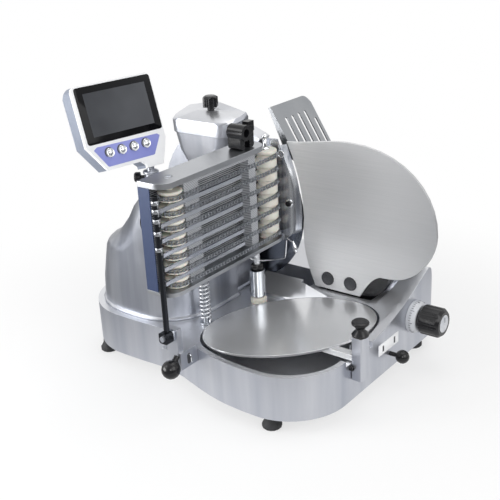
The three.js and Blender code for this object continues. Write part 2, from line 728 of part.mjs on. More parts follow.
const MOTOR_AXIS = [BLADE_X + MOTOR_OFFSET_X, 0, BLADE_Z - MOTOR_DROP];

function bladeMotor() {
  const end = PULLEY_Y - 8;
  const can = rod(MOTOR_RADIUS, end - MOTOR_LENGTH, end, "y", MOTOR_AXIS, ROUND_STEPS);
  const [x, , z] = MOTOR_AXIS;
  const saddle = block([x - 44, x + 44], [end - MOTOR_LENGTH + 20, end - 20], [RIM_Z + SEAT_GAP, z - 30]);
  const shaftHole = rod(KNOB_SHAFT_RADIUS + RUN_GAP, end - 30, end + 5, "y", MOTOR_AXIS);
  return cut(join(can, saddle), shaftHole);
}

function motorPulley() {
  return turned([
    [0, PULLEY_Y - 36],
    [KNOB_SHAFT_RADIUS, PULLEY_Y - 36],
    [KNOB_SHAFT_RADIUS, PULLEY_Y],
    [MOTOR_PULLEY_RADIUS, PULLEY_Y],
    [MOTOR_PULLEY_RADIUS, PULLEY_Y + PULLEY_WIDTH],
    [0, PULLEY_Y + PULLEY_WIDTH],
  ], "y", MOTOR_AXIS, SMALL_STEPS);
}

// The outline of a belt over both pulleys, a given distance from their rims.
function beltOutline(offset) {
  const [mx, , mz] = MOTOR_AXIS;
  const distance = Math.hypot(BLADE_X - mx, BLADE_Z - mz);
  const heading = THREE.MathUtils.radToDeg(Math.atan2(BLADE_Z - mz, BLADE_X - mx));
  const step = BLADE_PULLEY_RADIUS - MOTOR_PULLEY_RADIUS;
  const spread = THREE.MathUtils.radToDeg(Math.acos(step / distance));
  const upper = BLADE_PULLEY_RADIUS + offset;
  const lower = MOTOR_PULLEY_RADIUS + offset;
  return new THREE.Shape([
    ...arcPoints(BLADE_X, BLADE_Z, upper, heading - 180 + spread, heading + 180 - spread, 14),
    ...arcPoints(mx, mz, lower, heading + 180 - spread, heading + 180 + spread, 10),
  ]);
}

function driveBelt() {
  const from = PULLEY_Y + 2;
  const to = PULLEY_Y + PULLEY_WIDTH - 2;
  const outer = prism(beltOutline(BELT_GAP + BELT_THICKNESS), from, to, "y");
  return cut(outer, prism(beltOutline(BELT_GAP), from - 5, to + 5, "y"));
}

// Guard, deflector and sharpener

function sector(radius, from, to, steps) {
  const arc = arcPoints(BLADE_X, BLADE_Z, radius, from, to, steps);
  return new THREE.Shape([new THREE.Vector2(BLADE_X, BLADE_Z), ...arc]);
}

function ringGuard() {
  const axis = [BLADE_X, 0, BLADE_Z];
  const seat = TOWER_REAR + SEAT_GAP;
  const rim = BLADE_RADIUS + GUARD_GAP;
  const rear = CUT_PLANE_Y + 1;
  const ring = turned([
    [GUARD_INNER_RADIUS, seat],
    [GUARD_RADIUS, seat],
    [GUARD_RADIUS, rear],
    [rim, rear],
    [rim, seat + GUARD_PLATE],
    [GUARD_INNER_RADIUS, seat + GUARD_PLATE],
  ], "y", axis, BLADE_STEPS);
  const span = prism(sector(GUARD_RADIUS + 60, GUARD_START, GUARD_END, 18), seat - 5, rear + 5, "y");
  const stoneGap = prism(
    sector(GUARD_RADIUS + 60, STONE_ANGLE - 9, STONE_ANGLE + 9, 4), seat + GUARD_PLATE, rear + 5, "y",
  );
  return cut(ring.intersect(span), stoneGap);
}

function deflector() {
  const seat = TOWER_REAR + SEAT_GAP;
  const right = BLADE_X + BLADE_RADIUS - 16;
  const left = TOWER_RIGHT + 3;
  const thick = DEFLECTOR_THICKNESS;
  const sheet = new THREE.Shape();
  sheet.moveTo(left, seat + 8);
  sheet.quadraticCurveTo(CHAIN_X, seat + 4, right, seat + 18);
  sheet.lineTo(right - thick, seat + 18 + thick);
  sheet.quadraticCurveTo(CHAIN_X, seat + 4 + thick, left, seat + 8 + thick);
  const curved = prism(sheet, DEFLECTOR_BOTTOM_Z, DEFLECTOR_TOP_Z + 5);
  const rounding = new THREE.Shape();
  rounding.moveTo(left - 5, DEFLECTOR_BOTTOM_Z - 5);
  rounding.lineTo(left + 10, DEFLECTOR_BOTTOM_Z - 5);
  rounding.quadraticCurveTo(right + 5, DEFLECTOR_BOTTOM_Z, right + 5, DEFLECTOR_BOTTOM_Z + 55);
  rounding.lineTo(right + 5, BLADE_Z + 50);
  rounding.lineTo(GAUGE_CORNER_X - DEFLECTOR_CLEARANCE, DEFLECTOR_TOP_Z);
  rounding.lineTo(left + 24, DEFLECTOR_TOP_Z);
  rounding.lineTo(left - 5, DEFLECTOR_TOP_Z - 50);
  const tongueLeft = TOWER_RIGHT - TOWER_NOTCH_DEPTH - 26;
  const tongue = block([tongueLeft, left + 12], [seat, seat + 10], [DEFLECTOR_BOTTOM_Z + 6, BLADE_Z - 24]);
  return join(curved.intersect(prism(rounding, seat - 5, seat + 60, "y")), tongue);
}

// The sharpener's outline at a level: square at the rear, rounded in front.
function sharpenerRing(level, margin, crown = 0) {
  const left = SHARPENER_X - SHARPENER_HALF_WIDTH + margin;
  const right = SHARPENER_X + SHARPENER_HALF_WIDTH - margin;
  const front = SHARPENER_FRONT + margin / 4;
  const rear = CUT_PLANE_Y + 1;
  const leftRadius = Math.min(SHARPENER_LEFT_RADIUS, (right - left) * 0.3);
  const rightRadius = Math.min(SHARPENER_RIGHT_RADIUS, (right - left) * 0.55);
  const outline = [
    ...arcPoints(left + leftRadius, front + leftRadius, leftRadius, 180, 270, 5),
    ...arcPoints(right - rightRadius, front + rightRadius, rightRadius, 270, 360, 6),
    new THREE.Vector2(right, rear),
    new THREE.Vector2(SHARPENER_X, rear),
    new THREE.Vector2(left, rear),
  ];
  return outline.map(({ x, y }) => {
    const off = (x - SHARPENER_X) / SHARPENER_HALF_WIDTH;
    const share = ((y - front) / (rear - front)) * (1 - 0.6 * off * off);
    return new THREE.Vector3(x, y, level + crown * share);
  });
}

// The hood's flat crown, where its knob stands.
function sharpenerCrown(level) {
  const share = 0.3;
  return sharpenerRing(level, 0).map(({ x, y }) => new THREE.Vector3(
    SHARPENER_X + (x - SHARPENER_X) * share, SHARPENER_KNOB_Y + (y - SHARPENER_KNOB_Y) * share, level,
  ));
}

function sharpenerHousing() {
  const bottom = SHARPENER_SEAT_Z + SEAT_GAP;
  const rise = SHARPENER_SEAM_Z - bottom;
  const crown = SHARPENER_PEAK_Z - SHARPENER_EDGE_Z;
  const footMargin = SHARPENER_HALF_WIDTH * 0.52;
  const skin = loft([
    sharpenerRing(bottom, footMargin),
    sharpenerRing(bottom + rise * 0.18, footMargin * 0.65),
    sharpenerRing(bottom + rise * 0.5, footMargin / 3),
    sharpenerRing(SHARPENER_SEAM_Z, 6),
    sharpenerRing(SHARPENER_SEAM_Z + 1, 2),
    sharpenerRing(SHARPENER_EDGE_Z - 7, 0, crown),
    sharpenerRing(SHARPENER_EDGE_Z, 6, crown),
    sharpenerCrown(SHARPENER_CROWN_Z),
  ]);
  const inner = SHARPENER_WALL + 6;
  const hollow = loft([
    sharpenerRing(bottom - 5, footMargin + SHARPENER_WALL),
    sharpenerRing(bottom + rise * 0.5, footMargin / 3 + inner),
    sharpenerRing(SHARPENER_SEAM_Z, 6 + inner),
    sharpenerRing(SHARPENER_EDGE_Z - 7 - SHARPENER_WALL, inner, crown),
    sharpenerCrown(SHARPENER_CROWN_Z - SHARPENER_WALL),
  ]).intersect(block(
    [SHARPENER_X - SHARPENER_HALF_WIDTH, SHARPENER_X + SHARPENER_HALF_WIDTH],
    [SHARPENER_FRONT, CUT_PLANE_Y + 1 - SHARPENER_WALL],
    [0, SHARPENER_PEAK_Z],
  ));
  const ringSpace = rod(
    GUARD_RADIUS + RUN_GAP, TOWER_REAR - SEAT_GAP, CUT_PLANE_Y + 9, "y", [BLADE_X, 0, BLADE_Z], BLADE_STEPS,
  );
  return cut(skin, hollow, ringSpace);
}

const STONE_TURN = THREE.MathUtils.degToRad(STONE_ANGLE);
const STONE_X = BLADE_X + (BLADE_RADIUS - 10) * Math.cos(STONE_TURN);
const STONE_Z = BLADE_Z + (BLADE_RADIUS - 10) * Math.sin(STONE_TURN);

function sharpeningStone() {
  const rear = BLADE_FRONT_Y - 1;
  const front = rear - 16;
  const wheel = rod(STONE_RADIUS, front, rear, "y", [STONE_X, 0, STONE_Z]);
  const stemTop = SHARPENER_EDGE_Z;
  return join(wheel, rod(5, STONE_Z, stemTop, "z", [STONE_X, (front + rear) / 2, 0], 12));
}

// Gauge plate

function gaugeOutline() {
  const left = BLADE_X + BLADE_RADIUS + GAUGE_GAP;
  const outline = new THREE.Shape();
  outline.moveTo(TAB_LEFT, TAB_Z);
  outline.lineTo(TAB_RIGHT, TAB_Z);
  outline.quadraticCurveTo(TAB_RIGHT + 28, GAUGE_SHOULDER_Z - 6, TAB_RIGHT + 52, GAUGE_SHOULDER_Z);
  outline.lineTo(TAB_RIGHT + 76, GAUGE_SHOULDER_Z + 1);
  outline.bezierCurveTo(
    GAUGE_RIGHT - 49, GAUGE_SHOULDER_Z + 4, GAUGE_RIGHT, GAUGE_WIDEST_Z - 55, GAUGE_RIGHT, GAUGE_WIDEST_Z,
  );
  outline.bezierCurveTo(
    GAUGE_RIGHT, GAUGE_TOP_Z - 82, GAUGE_PEAK_X + 132, GAUGE_TOP_Z, GAUGE_PEAK_X, GAUGE_TOP_Z,
  );
  outline.bezierCurveTo(
    GAUGE_PEAK_X - 58, GAUGE_TOP_Z, GAUGE_CORNER_X + 65, GAUGE_CORNER_Z + 4, GAUGE_CORNER_X, GAUGE_CORNER_Z,
  );
  outline.bezierCurveTo(GAUGE_CORNER_X + 22, GAUGE_CORNER_Z - 44, left, BLADE_Z + 70, left, BLADE_Z);
  outline.bezierCurveTo(left - 7, BLADE_Z - 60, TAB_LEFT - 24, TAB_Z + 60, TAB_LEFT, TAB_Z);
  return outline;
}

function gaugeBolts(radius, from, to) {
  return GAUGE_BOLT_X.map((x) => rod(radius, from, to, "y", [x, 0, GAUGE_BOLT_Z]));
}

function gaugePlate() {
  const front = CUT_PLANE_Y - GAUGE_THICKNESS;
  const plate = prism(gaugeOutline(), front, CUT_PLANE_Y, "y", 10);
  return cut(plate, ...gaugeBolts(GAUGE_BOLT_RADIUS + SEAT_GAP, front - 5, CUT_PLANE_Y + 5));
}

function gaugeCarrier() {
  const front = CUT_PLANE_Y + SEAT_GAP;
  const rear = front + CARRIER_THICKNESS;
  const left = TAB_LEFT + 8;
  const low = TABLE_TOP_Z + 6;
  const high = GAUGE_SHOULDER_Z - 4;
  const outline = new THREE.Shape();
  outline.moveTo(left, low);
  outline.lineTo(TAB_RIGHT + 11, low);
  outline.quadraticCurveTo(CARRIER_RIGHT - 8, low + 4, CARRIER_RIGHT, high);
  outline.lineTo(left, high);
  const body = prism(outline, front, rear, "y");
  const sole = NOTCH_FLOOR_Z + SEAT_GAP;
  const shoe = block([left + 10, CARRIER_RIGHT - 50], [rear - 6, NOTCH_REAR - 4], [sole, low + 24]);
  const bolts = gaugeBolts(GAUGE_BOLT_RADIUS, CUT_PLANE_Y - GAUGE_THICKNESS - 1.5, front + 2);
  return join(body, shoe, ...bolts);
}

// Knobs on the operator's wall

function dialCollar() {
  const from = BASE_RIGHT + SEAT_GAP;
  const to = from + DIAL_WIDTH;
  const bore = KNOB_SHAFT_RADIUS + RUN_GAP;
  return turned([
    [bore, from],
    [DIAL_RADIUS, from],
    [DIAL_RADIUS, to - 8],
    [DIAL_RADIUS - 7, to],
    [bore, to],
  ], "x", [0, KNOB_Y, KNOB_Z]);
}

function thicknessKnob() {
  const from = BASE_RIGHT + SEAT_GAP + DIAL_WIDTH + RUN_GAP;
  const to = from + KNOB_LENGTH;
  const body = turned([
    [0, from - DIAL_WIDTH],
    [KNOB_SHAFT_RADIUS, from - DIAL_WIDTH],
    [KNOB_SHAFT_RADIUS, from],
    [KNOB_RADIUS - 7, from],
    [KNOB_RADIUS, from + 8],
    [KNOB_RADIUS, to - 7],
    [KNOB_RADIUS - 6, to],
    [0, to],
  ], "x", [0, KNOB_Y, KNOB_Z]);
  const grips = Array.from({ length: 8 }, (_, i) => {
    const angle = (i / 8) * Math.PI * 2;
    const reach = KNOB_RADIUS + 5;
    const centre = [0, KNOB_Y + reach * Math.cos(angle), KNOB_Z + reach * Math.sin(angle)];
    return rod(8, from - 1, to + 1, "x", centre, 10);
  });
  return cut(body, ...grips);
}

function wallBallKnob() {
  const from = BASE_RIGHT + SEAT_GAP;
  const reach = from + 30;
  const ball = arcPoints(0, reach, WALL_BALL_RADIUS, -72, 90, 7).map(({ x, y }) => [x, y]);
  return turned([[0, from], [5, from], ...ball], "x", [0, WALL_BALL_Y, WALL_BALL_Z], SMALL_STEPS);
}

// Chain conveyor

function framePlate(from, to, rightY, bores) {
  const half = (PLATE_FRONT_X - PLATE_BACK_X) / 2;
  const middle = PLATE_BACK_X + half;
  const corner = half - 2;
  const outline = new THREE.Shape();
  outline.absarc(PLATE_FRONT_X - corner, PLATE_LEFT_Y + corner, corner, Math.PI * 1.5, Math.PI * 2);
  outline.absarc(middle, rightY - half, half, 0, Math.PI);
  outline.lineTo(PLATE_BACK_X, PLATE_LEFT_Y);
  const holes = bores.map((y) => rod(DRUM_SHAFT_RADIUS + RUN_GAP, from - 5, to + 5, "z", [CHAIN_X, y, 0]));
  return cut(prism(outline, from, to), ...holes);
}

function frameTopPlate() {
  return framePlate(TOP_PLATE_Z, TOP_PLATE_Z + TOP_PLATE, TOP_PLATE_RIGHT_Y, [IDLER_Y]);
}

function frameBottomPlate() {
  const right = DRIVE_Y + (PLATE_FRONT_X - PLATE_BACK_X) / 2 - 4;
  const top = FRAME_BOTTOM_Z + BOTTOM_PLATE;
  const plate = framePlate(FRAME_BOTTOM_Z, top, right, [DRIVE_Y, IDLER_Y]);
  const bore = rod(
    COUPLING_ROD_RADIUS + RUN_GAP, FRAME_BOTTOM_Z - 5, top + 5, "z", [COUPLING_X, COUPLING_Y, 0],
  );
  return cut(plate, bore);
}

// Sheet behind the chains with its end flange, and the spacers inside the loops.
function frameWeb() {
  const z = [FRAME_BOTTOM_Z + BOTTOM_PLATE + SEAT_GAP, TOP_PLATE_Z - SEAT_GAP];
  const reach = DRUM_RADIUS + CHAIN_LIFT;
  const right = TOP_PLATE_RIGHT_Y - 20;
  const back = [PLATE_BACK_X, PLATE_BACK_X + WEB_THICKNESS];
  const sheet = block(back, [PLATE_LEFT_Y, right], z);
  const flange = block([PLATE_BACK_X, CHAIN_X - 6], [PLATE_LEFT_Y, PLATE_LEFT_Y + WEB_THICKNESS], z);
  const spacer = (y, length) => block(
    [CHAIN_X - SPACER_DEPTH / 2, CHAIN_X + SPACER_DEPTH / 2], [y - length / 2, y + length / 2], z,
  );
  const tieHeight = [LAST_ROW_Z + CHAIN_HEIGHT, z[1]];
  const tie = block([PLATE_BACK_X, CHAIN_X + reach / 2], [SPACER_Y, COLUMN_Y], tieHeight);
  return join(sheet, flange, spacer(SPACER_Y, SPACER_LENGTH), spacer(COLUMN_Y, COLUMN_LENGTH), tie);
}

// A row of rings on one shaft, one for each chain.
function drum(y, shaftTop, flangeRadius) {
  const profile = [[0, FRAME_BOTTOM_Z], [DRUM_SHAFT_RADIUS, FRAME_BOTTOM_Z]];
  const foot = FRAME_BOTTOM_Z + BOTTOM_PLATE + RUN_GAP;
  profile.push([DRUM_SHAFT_RADIUS, foot], [DRUM_CORE_RADIUS, foot]);
  for (let row = 0; row < CHAIN_ROWS; row += 1) {
    const z = FIRST_ROW_Z + row * ROW_PITCH;
    const half = DRUM_RING_HEIGHT / 2;
    profile.push([DRUM_CORE_RADIUS, z - half], [DRUM_RADIUS, z - half + 2]);
    profile.push([DRUM_RADIUS, z + half - 2], [DRUM_CORE_RADIUS, z + half]);
  }
  const top = LAST_ROW_Z + DRUM_RING_HEIGHT / 2 + 3;
  profile.push([DRUM_CORE_RADIUS, top], [flangeRadius, top + 1], [flangeRadius, top + DRUM_FLANGE]);
  profile.push([DRUM_SHAFT_RADIUS, top + DRUM_FLANGE], [DRUM_SHAFT_RADIUS, shaftTop], [0, shaftTop]);
  return turned(profile, "z", [CHAIN_X, y, 0], DRUM_STEPS);
}

// A point of the chain's path, with the outward direction there.
function chainStation(distance, radius) {
  const half = Math.PI * radius;
  const length = 2 * (CHAIN_SPAN + half);
  let s = ((distance % length) + length) % length;
  if (s < CHAIN_SPAN) return { ox: 0, oy: IDLER_Y + s, nx: 1, ny: 0 };
  s -= CHAIN_SPAN;
  if (s < half) {
    const angle = s / radius;
    return { ox: 0, oy: DRIVE_Y, nx: Math.cos(angle), ny: Math.sin(angle) };
  }
  s -= half;
  if (s < CHAIN_SPAN) return { ox: 0, oy: DRIVE_Y - s, nx: -1, ny: 0 };
  const angle = Math.PI + (s - CHAIN_SPAN) / radius;
  return { ox: 0, oy: IDLER_Y, nx: Math.cos(angle), ny: Math.sin(angle) };
}

// One endless chain about its own middle height: wide plates, narrow joints, a spike on each plate.
function chainLoop() {
  const inner = DRUM_RADIUS + CHAIN_LIFT;
  const outer = inner + CHAIN_THICKNESS;
  const middle = (inner + outer) / 2;
  const pitch = (2 * (CHAIN_SPAN + Math.PI * middle)) / CHAIN_LINKS;
  const marks = [[0, CHAIN_HEIGHT], [0.4, CHAIN_HEIGHT], [0.7, CHAIN_WAIST]];
  const points = [];
  const faces = [];
  const spikes = [];
  for (let link = 0; link < CHAIN_LINKS; link += 1) {
    for (const [share, height] of marks) {
      const { ox, oy, nx, ny } = chainStation((link + share) * pitch, middle);
      for (const [reach, level] of [[inner, -1], [outer, -1], [outer, 1], [inner, 1]]) {
        points.push(new THREE.Vector3(CHAIN_X + ox + nx * reach, oy + ny * reach, (level * height) / 2));
      }
    }
    const { ox, oy, nx, ny } = chainStation((link + 0.2) * pitch, middle);
    const spike = new THREE.ConeGeometry(SPIKE_RADIUS, SPIKE_LENGTH + 2, 3);
    spike.applyQuaternion(new THREE.Quaternion().setFromUnitVectors(Y_AXIS, new THREE.Vector3(nx, ny, 0)));
    const reach = outer + SPIKE_LENGTH / 2 - 2;
    spikes.push(solid(spike.translate(CHAIN_X + ox + nx * reach, oy + ny * reach, 0)));
  }
  const stations = points.length / 4;
  for (let station = 0; station < stations; station += 1) {
    for (let i = 0; i < 4; i += 1) {
      const here = station * 4 + i;
      const side = station * 4 + ((i + 1) % 4);
      const next = ((station + 1) % stations) * 4 + i;
      const nextSide = ((station + 1) % stations) * 4 + ((i + 1) % 4);
      faces.push(here, side, nextSide, here, nextSide, next);
    }
  }
  const geometry = new THREE.BufferGeometry().setFromPoints(points);
  geometry.setIndex(faces);
  return join(solid(geometry), ...spikes);
}

// Clamp for an accessory rod, on the top plate.
function rodClamp() {
  const bottom = TOP_PLATE_Z + TOP_PLATE + SEAT_GAP;
  const x = [CHAIN_X - CLAMP_DEPTH / 2, CHAIN_X + CLAMP_DEPTH / 2];
  const y = [CLAMP_Y - CLAMP_LENGTH / 2, CLAMP_Y + CLAMP_LENGTH / 2];
  const body = prism(roundedRectangle(y, [bottom, bottom + CLAMP_HEIGHT], 7), x[0], x[1], "x", 4);
  const legs = [y[0] + 14, y[1] - 15];
  const arch = prism(roundedRectangle(legs, [bottom - 8, bottom + 19], 7), x[0] - 5, x[1] + 5, "x", 4);
  const axis = [0, CLAMP_Y - 10, bottom + CLAMP_HEIGHT - 10];
  const boss = rod(CLAMP_BORE_RADIUS + 8, x[0], x[1] + 7, "x", axis);
  const earHeight = [bottom + 30, bottom + CLAMP_HEIGHT + 6];
  const ear = block([CHAIN_X - 8, CHAIN_X + 8], [y[1] - 6, y[1] + 14], earHeight);
  const bore = rod(CLAMP_BORE_RADIUS, x[0] - 5, x[1] + 12, "x", axis);
  return cut(join(body, boss, ear), arch, bore);
}

// Posts

function couplingCollar() {
  const from = RIM_Z + SEAT_GAP;
  const to = from + COLLAR_HEIGHT;
  const bore = COUPLING_ROD_RADIUS + 2 + RUN_GAP;
  return turned([
    [bore, from],
    [COLLAR_RADIUS, from],
    [COLLAR_RADIUS, to - 4],
    [COLLAR_RADIUS - 4, to],
    [bore, to],
  ], "z", [COUPLING_X, COUPLING_Y, 0], 18);
}

function couplingSleeve() {
  const foot = RIM_Z + SEAT_GAP + 1;
  const shoulder = RIM_Z + SEAT_GAP + COLLAR_HEIGHT + RUN_GAP;
  const top = shoulder + COUPLING_HEIGHT;
  const head = FRAME_BOTTOM_Z + BOTTOM_PLATE - 2;
  return turned([
    [0, foot],
    [COUPLING_ROD_RADIUS + 2, foot],
    [COUPLING_ROD_RADIUS + 2, shoulder],
    [COUPLING_RADIUS, shoulder],
    [COUPLING_RADIUS, top - 14],
    [COUPLING_RADIUS - 3, top - 12],
    [COUPLING_RADIUS - 3, top],
    [COUPLING_ROD_RADIUS, top],
    [COUPLING_ROD_RADIUS, head],
    [0, head],
  ], "z", [COUPLING_X, COUPLING_Y, 0], SMALL_STEPS);
}

function springPost() {
  const foot = RIM_Z + SEAT_GAP;
  const head = FRAME_BOTTOM_Z - SEAT_GAP;
  return turned([
    [0, foot],
    [SPRING_FLANGE_RADIUS, foot],
    [SPRING_FLANGE_RADIUS, foot + SPRING_FLANGE],
    [SPRING_ROD_RADIUS, foot + SPRING_FLANGE],
    [SPRING_ROD_RADIUS, head],
    [0, head],
  ], "z", [SPRING_X, SPRING_Y, 0], SMALL_STEPS);
}

// Middle of the spring's wire: upright for one wire's width at both ends, eight steps to a curl.
function springLine() {
  const bottom = RIM_Z + 2 * SEAT_GAP + SPRING_FLANGE;
  const top = FRAME_BOTTOM_Z - SEAT_GAP;
  const bend = SPRING_WIRE * 0.8;
  const start = bottom + SPRING_WIRE;
  const climb = top - bottom - 2 * (SPRING_WIRE + bend);
  const steps = SPRING_CURLS * 8;
  const at = (turns, z) => new THREE.Vector3(
    SPRING_RADIUS * Math.cos(turns * Math.PI * 2), SPRING_RADIUS * Math.sin(turns * Math.PI * 2), z,
  );
  const curls = Array.from({ length: steps - 1 }, (_, i) => {
    const share = (i + 1) / steps;
    return at(share * SPRING_CURLS, start + bend + climb * share);
  });
  const end = top - SPRING_WIRE;
  return [at(0, bottom), at(0, start), ...curls, at(SPRING_CURLS, end), at(SPRING_CURLS, top)];
}

// The least open distance between turns, from points on the wire's middle line.
function springGap(line) {
  let least = Infinity;
  line.forEach((point, i) => {
    for (let k = i + 6; k < line.length; k += 1) least = Math.min(least, point.distanceTo(line[k]));
  });
  return least - SPRING_WIRE;
}

// A round wire of few sides along a line of points, its rings carried on without twist.
function wire(line, diameter, sides) {
  const rings = [];
  const across = new THREE.Vector3(1, 0, 0);
  line.forEach((point, i) => {
    const before = line[Math.max(0, i - 1)];
    const after = line[Math.min(line.length - 1, i + 1)];
    const along = after.clone().sub(before).normalize();
    across.addScaledVector(along, -across.dot(along)).normalize();
    const up = along.clone().cross(across);
    rings.push(Array.from({ length: sides }, (_, k) => {
      const angle = (k / sides) * Math.PI * 2;
      const side = across.clone().multiplyScalar(Math.cos(angle)).addScaledVector(up, Math.sin(angle));
      return point.clone().addScaledVector(side, diameter / 2);
    }));
  });
  return stitch(rings, fan(sides), fan(sides));
}

function supportSpring() {
  const line = springLine();
  console.log(`least gap between the spring's turns: ${springGap(line).toFixed(2)} mm`);
  return wire(line, SPRING_WIRE, 5);
}

// Throw-off fork

function throwFork() {
  const hub = prism(
    roundedRectangle(
      [FORK_X - FORK_HUB / 2, FORK_X + FORK_HUB / 2],
      [FORK_PIVOT_Z - FORK_HUB / 2, FORK_PIVOT_Z + FORK_HUB / 2], 6,
    ), FORK_BAR_Y - FORK_HUB / 2, FORK_BAR_Y + FORK_HUB / 2, "y", 4,
  );
  const bore = rod(
    FORK_PIN_RADIUS + RUN_GAP, FORK_BAR_Y - FORK_HUB, FORK_BAR_Y + FORK_HUB, "y", [FORK_X, 0, FORK_PIVOT_Z],
  );
  const barFoot = FORK_PIVOT_Z + FORK_HUB / 2 - 2;
  const bar = rod(FORK_BAR_RADIUS, barFoot, FORK_BAR_TOP_Z, "z", [FORK_X, FORK_BAR_Y, 0]);
  const fingers = Array.from({ length: CHAIN_ROWS - 1 }, (_, i) => {
    const z = FIRST_ROW_Z + (i + 0.5) * ROW_PITCH + FINGER_LIFT;
    const half = FINGER_HEIGHT / 2;
    const tip = FORK_BAR_Y + FORK_REACH;
    const outline = new THREE.Shape();
    outline.absarc(tip - half, z, half, -Math.PI / 2, Math.PI / 2);
    outline.lineTo(FORK_BAR_Y, z + half);
    outline.lineTo(FORK_BAR_Y, z - half);
    return prism(outline, FORK_X + 1, FORK_X + 1 + FINGER_THICKNESS, "x", 3);
  });
  return cut(join(hub, bar, ...fingers), bore);
}

// Bracket on the front wall, with the pin that the fork turns on.
function forkBracket() {
  const hubRear = FORK_BAR_Y + FORK_HUB / 2 + RUN_GAP;
  const earRear = hubRear + 14;
  const arm = block(BRACKET_X, [hubRear, BASE_FRONT + FRONT_WAIST + 20], BRACKET_Z);
  const ear = block([FORK_X - 15, FORK_X + 15], [hubRear, earRear], [BRACKET_Z[0], FORK_PIVOT_Z + 12]);
  const pinFront = FORK_BAR_Y - FORK_HUB / 2 - 4;
  const pin = rod(FORK_PIN_RADIUS, pinFront, hubRear + 3, "y", [FORK_X, 0, FORK_PIVOT_Z]);
  const wall = prism(baseOutline(-SEAT_GAP), 0, RAMP_TOP_Z);
  return join(cut(arm, wall), ear, pin);
}

// A pear-shaped hand knob along its own axis, which points at the grip.
function forkBallKnob() {
  const ball = arcPoints(0, FORK_BALL_REACH, FORK_BALL_RADIUS, -62, 90, 7).map(({ x, y }) => [x, y]);
  return turned([[0, 0], [FORK_STEM_RADIUS, 0], [FORK_STEM_RADIUS, 8], ...ball], "z", [0, 0, 0], 18);
}

// Oval table with its arm, and the stand that carries it on the operator's wall

function depositTable() {
  const bottom = TABLE_TOP_Z - TABLE_THICKNESS;
  const plate = prism(tableOutline(0), bottom, TABLE_TOP_Z, "z", 30);
  const end = BASE_RIGHT + RUN_GAP - SEAT_GAP;
  const y = [ARM_Y - ARM_WIDTH / 2, ARM_Y + ARM_WIDTH / 2];
  return join(plate, block([TABLE_X, end], y, [bottom - ARM_HEIGHT, bottom + 1]));
}

function tableStand() {
  const from = BASE_RIGHT + RUN_GAP;
  const y = [ARM_Y - STAND_WIDTH / 2, ARM_Y + STAND_WIDTH / 2];
  const outline = roundedRectangle([from, from + STAND_DEPTH], y, 3);
  return prism(outline, STAND_Z[0], STAND_Z[1], "z", 3);
}

function tableLockKnob() {
  const from = STAND_Z[1] + SEAT_GAP;
  const to = from + LOCK_HEIGHT;
  const middle = (from + to) / 2;
  return turned([
    [0, from],
    [LOCK_RADIUS - 1, from],
    [LOCK_RADIUS, from + 4],
    [LOCK_WAIST, middle - 3],
    [LOCK_WAIST, middle + 1],
    [LOCK_RADIUS, to - 7],
    [LOCK_RADIUS, to - 3],
    [LOCK_RADIUS - 4, to],
    [0, to],
  ], "z", [BASE_RIGHT + RUN_GAP + STAND_DEPTH / 2, ARM_Y, 0], 18);
}

// Carriage: everything is laid out from the trough's low corner

const TRAY_DOWN = new THREE.Vector2(Math.sin(TRAY_TURN), -Math.cos(TRAY_TURN));
const TRAY_OUT = new THREE.Vector2(Math.cos(TRAY_TURN), Math.sin(TRAY_TURN));
const TRAY_CORNER_POINT = [
  TRAY_TOP[0] + TRAY_DOWN.x * TRAY_WALL_LENGTH, TRAY_TOP[1] + TRAY_DOWN.y * TRAY_WALL_LENGTH,
];

// Moves a solid drawn upright, with its origin in the trough's corner, to its place on the lean.
function onTray(geometry) {
  geometry.rotateY(-TRAY_TURN);
  geometry.translate(TRAY_CORNER_POINT[0], 0, TRAY_CORNER_POINT[1]);
  return solid(geometry);
}

// A sheet outline in (y, height) drawn upright and leaned into the trough's wall.
function trayWall() {
  const [across, down] = TRAY_CORNER;
  const outline = new THREE.Shape();
  outline.moveTo(TRAY_FRONT, -TRAY_SHEET);
  outline.lineTo(TRAY_REAR, -TRAY_SHEET);
  outline.lineTo(TRAY_REAR, TRAY_WALL_LENGTH - down);
  outline.quadraticCurveTo(TRAY_REAR - 6, TRAY_WALL_LENGTH, TRAY_REAR - across, TRAY_WALL_LENGTH);
  outline.lineTo(TRAY_FRONT, TRAY_WALL_LENGTH);
  for (let i = 0; i < SLOT_COUNT; i += 1) {
    const y = SLOT_FIRST_Y + i * SLOT_PITCH;
    const top = TRAY_WALL_LENGTH - SLOT_START - (i === SLOT_COUNT - 1 ? 24 : 0);
    const sides = [y - SLOT_WIDTH / 2, y + SLOT_WIDTH / 2];
    const slot = roundedRectangle(sides, [top - SLOT_LENGTH, top], SLOT_WIDTH * 0.49);
    outline.holes.push(new THREE.Path(slot.getPoints(2)));
  }
  const settings = { depth: TRAY_SHEET, bevelEnabled: false, curveSegments: 6 };
  const geometry = new THREE.ExtrudeGeometry(outline, settings).translate(0, 0, -TRAY_SHEET);
  return onTray(geometry.applyMatrix4(PRISM_FRAMES.x));
}

function productTray() {
  const wide = TRAY_REAR - TRAY_FRONT;
  const middle = (TRAY_REAR + TRAY_FRONT) / 2;
  const floor = new THREE.BoxGeometry(TRAY_FLOOR_LENGTH, wide, TRAY_SHEET);
  floor.translate(TRAY_FLOOR_LENGTH / 2 - TRAY_SHEET / 2, middle, -TRAY_SHEET / 2);
  const ribTop = TRAY_WALL_LENGTH;
  const rib = polygon([[-1, ribTop - 150], [-22, ribTop - 110], [-7, ribTop], [-1, ribTop]]);
  const ribShape = new THREE.ExtrudeGeometry(rib, { depth: TRAY_SHEET, bevelEnabled: false });
  ribShape.translate(0, 0, TRAY_FRONT).applyMatrix4(PRISM_FRAMES.y);
  return join(trayWall(), onTray(floor), onTray(ribShape));
}

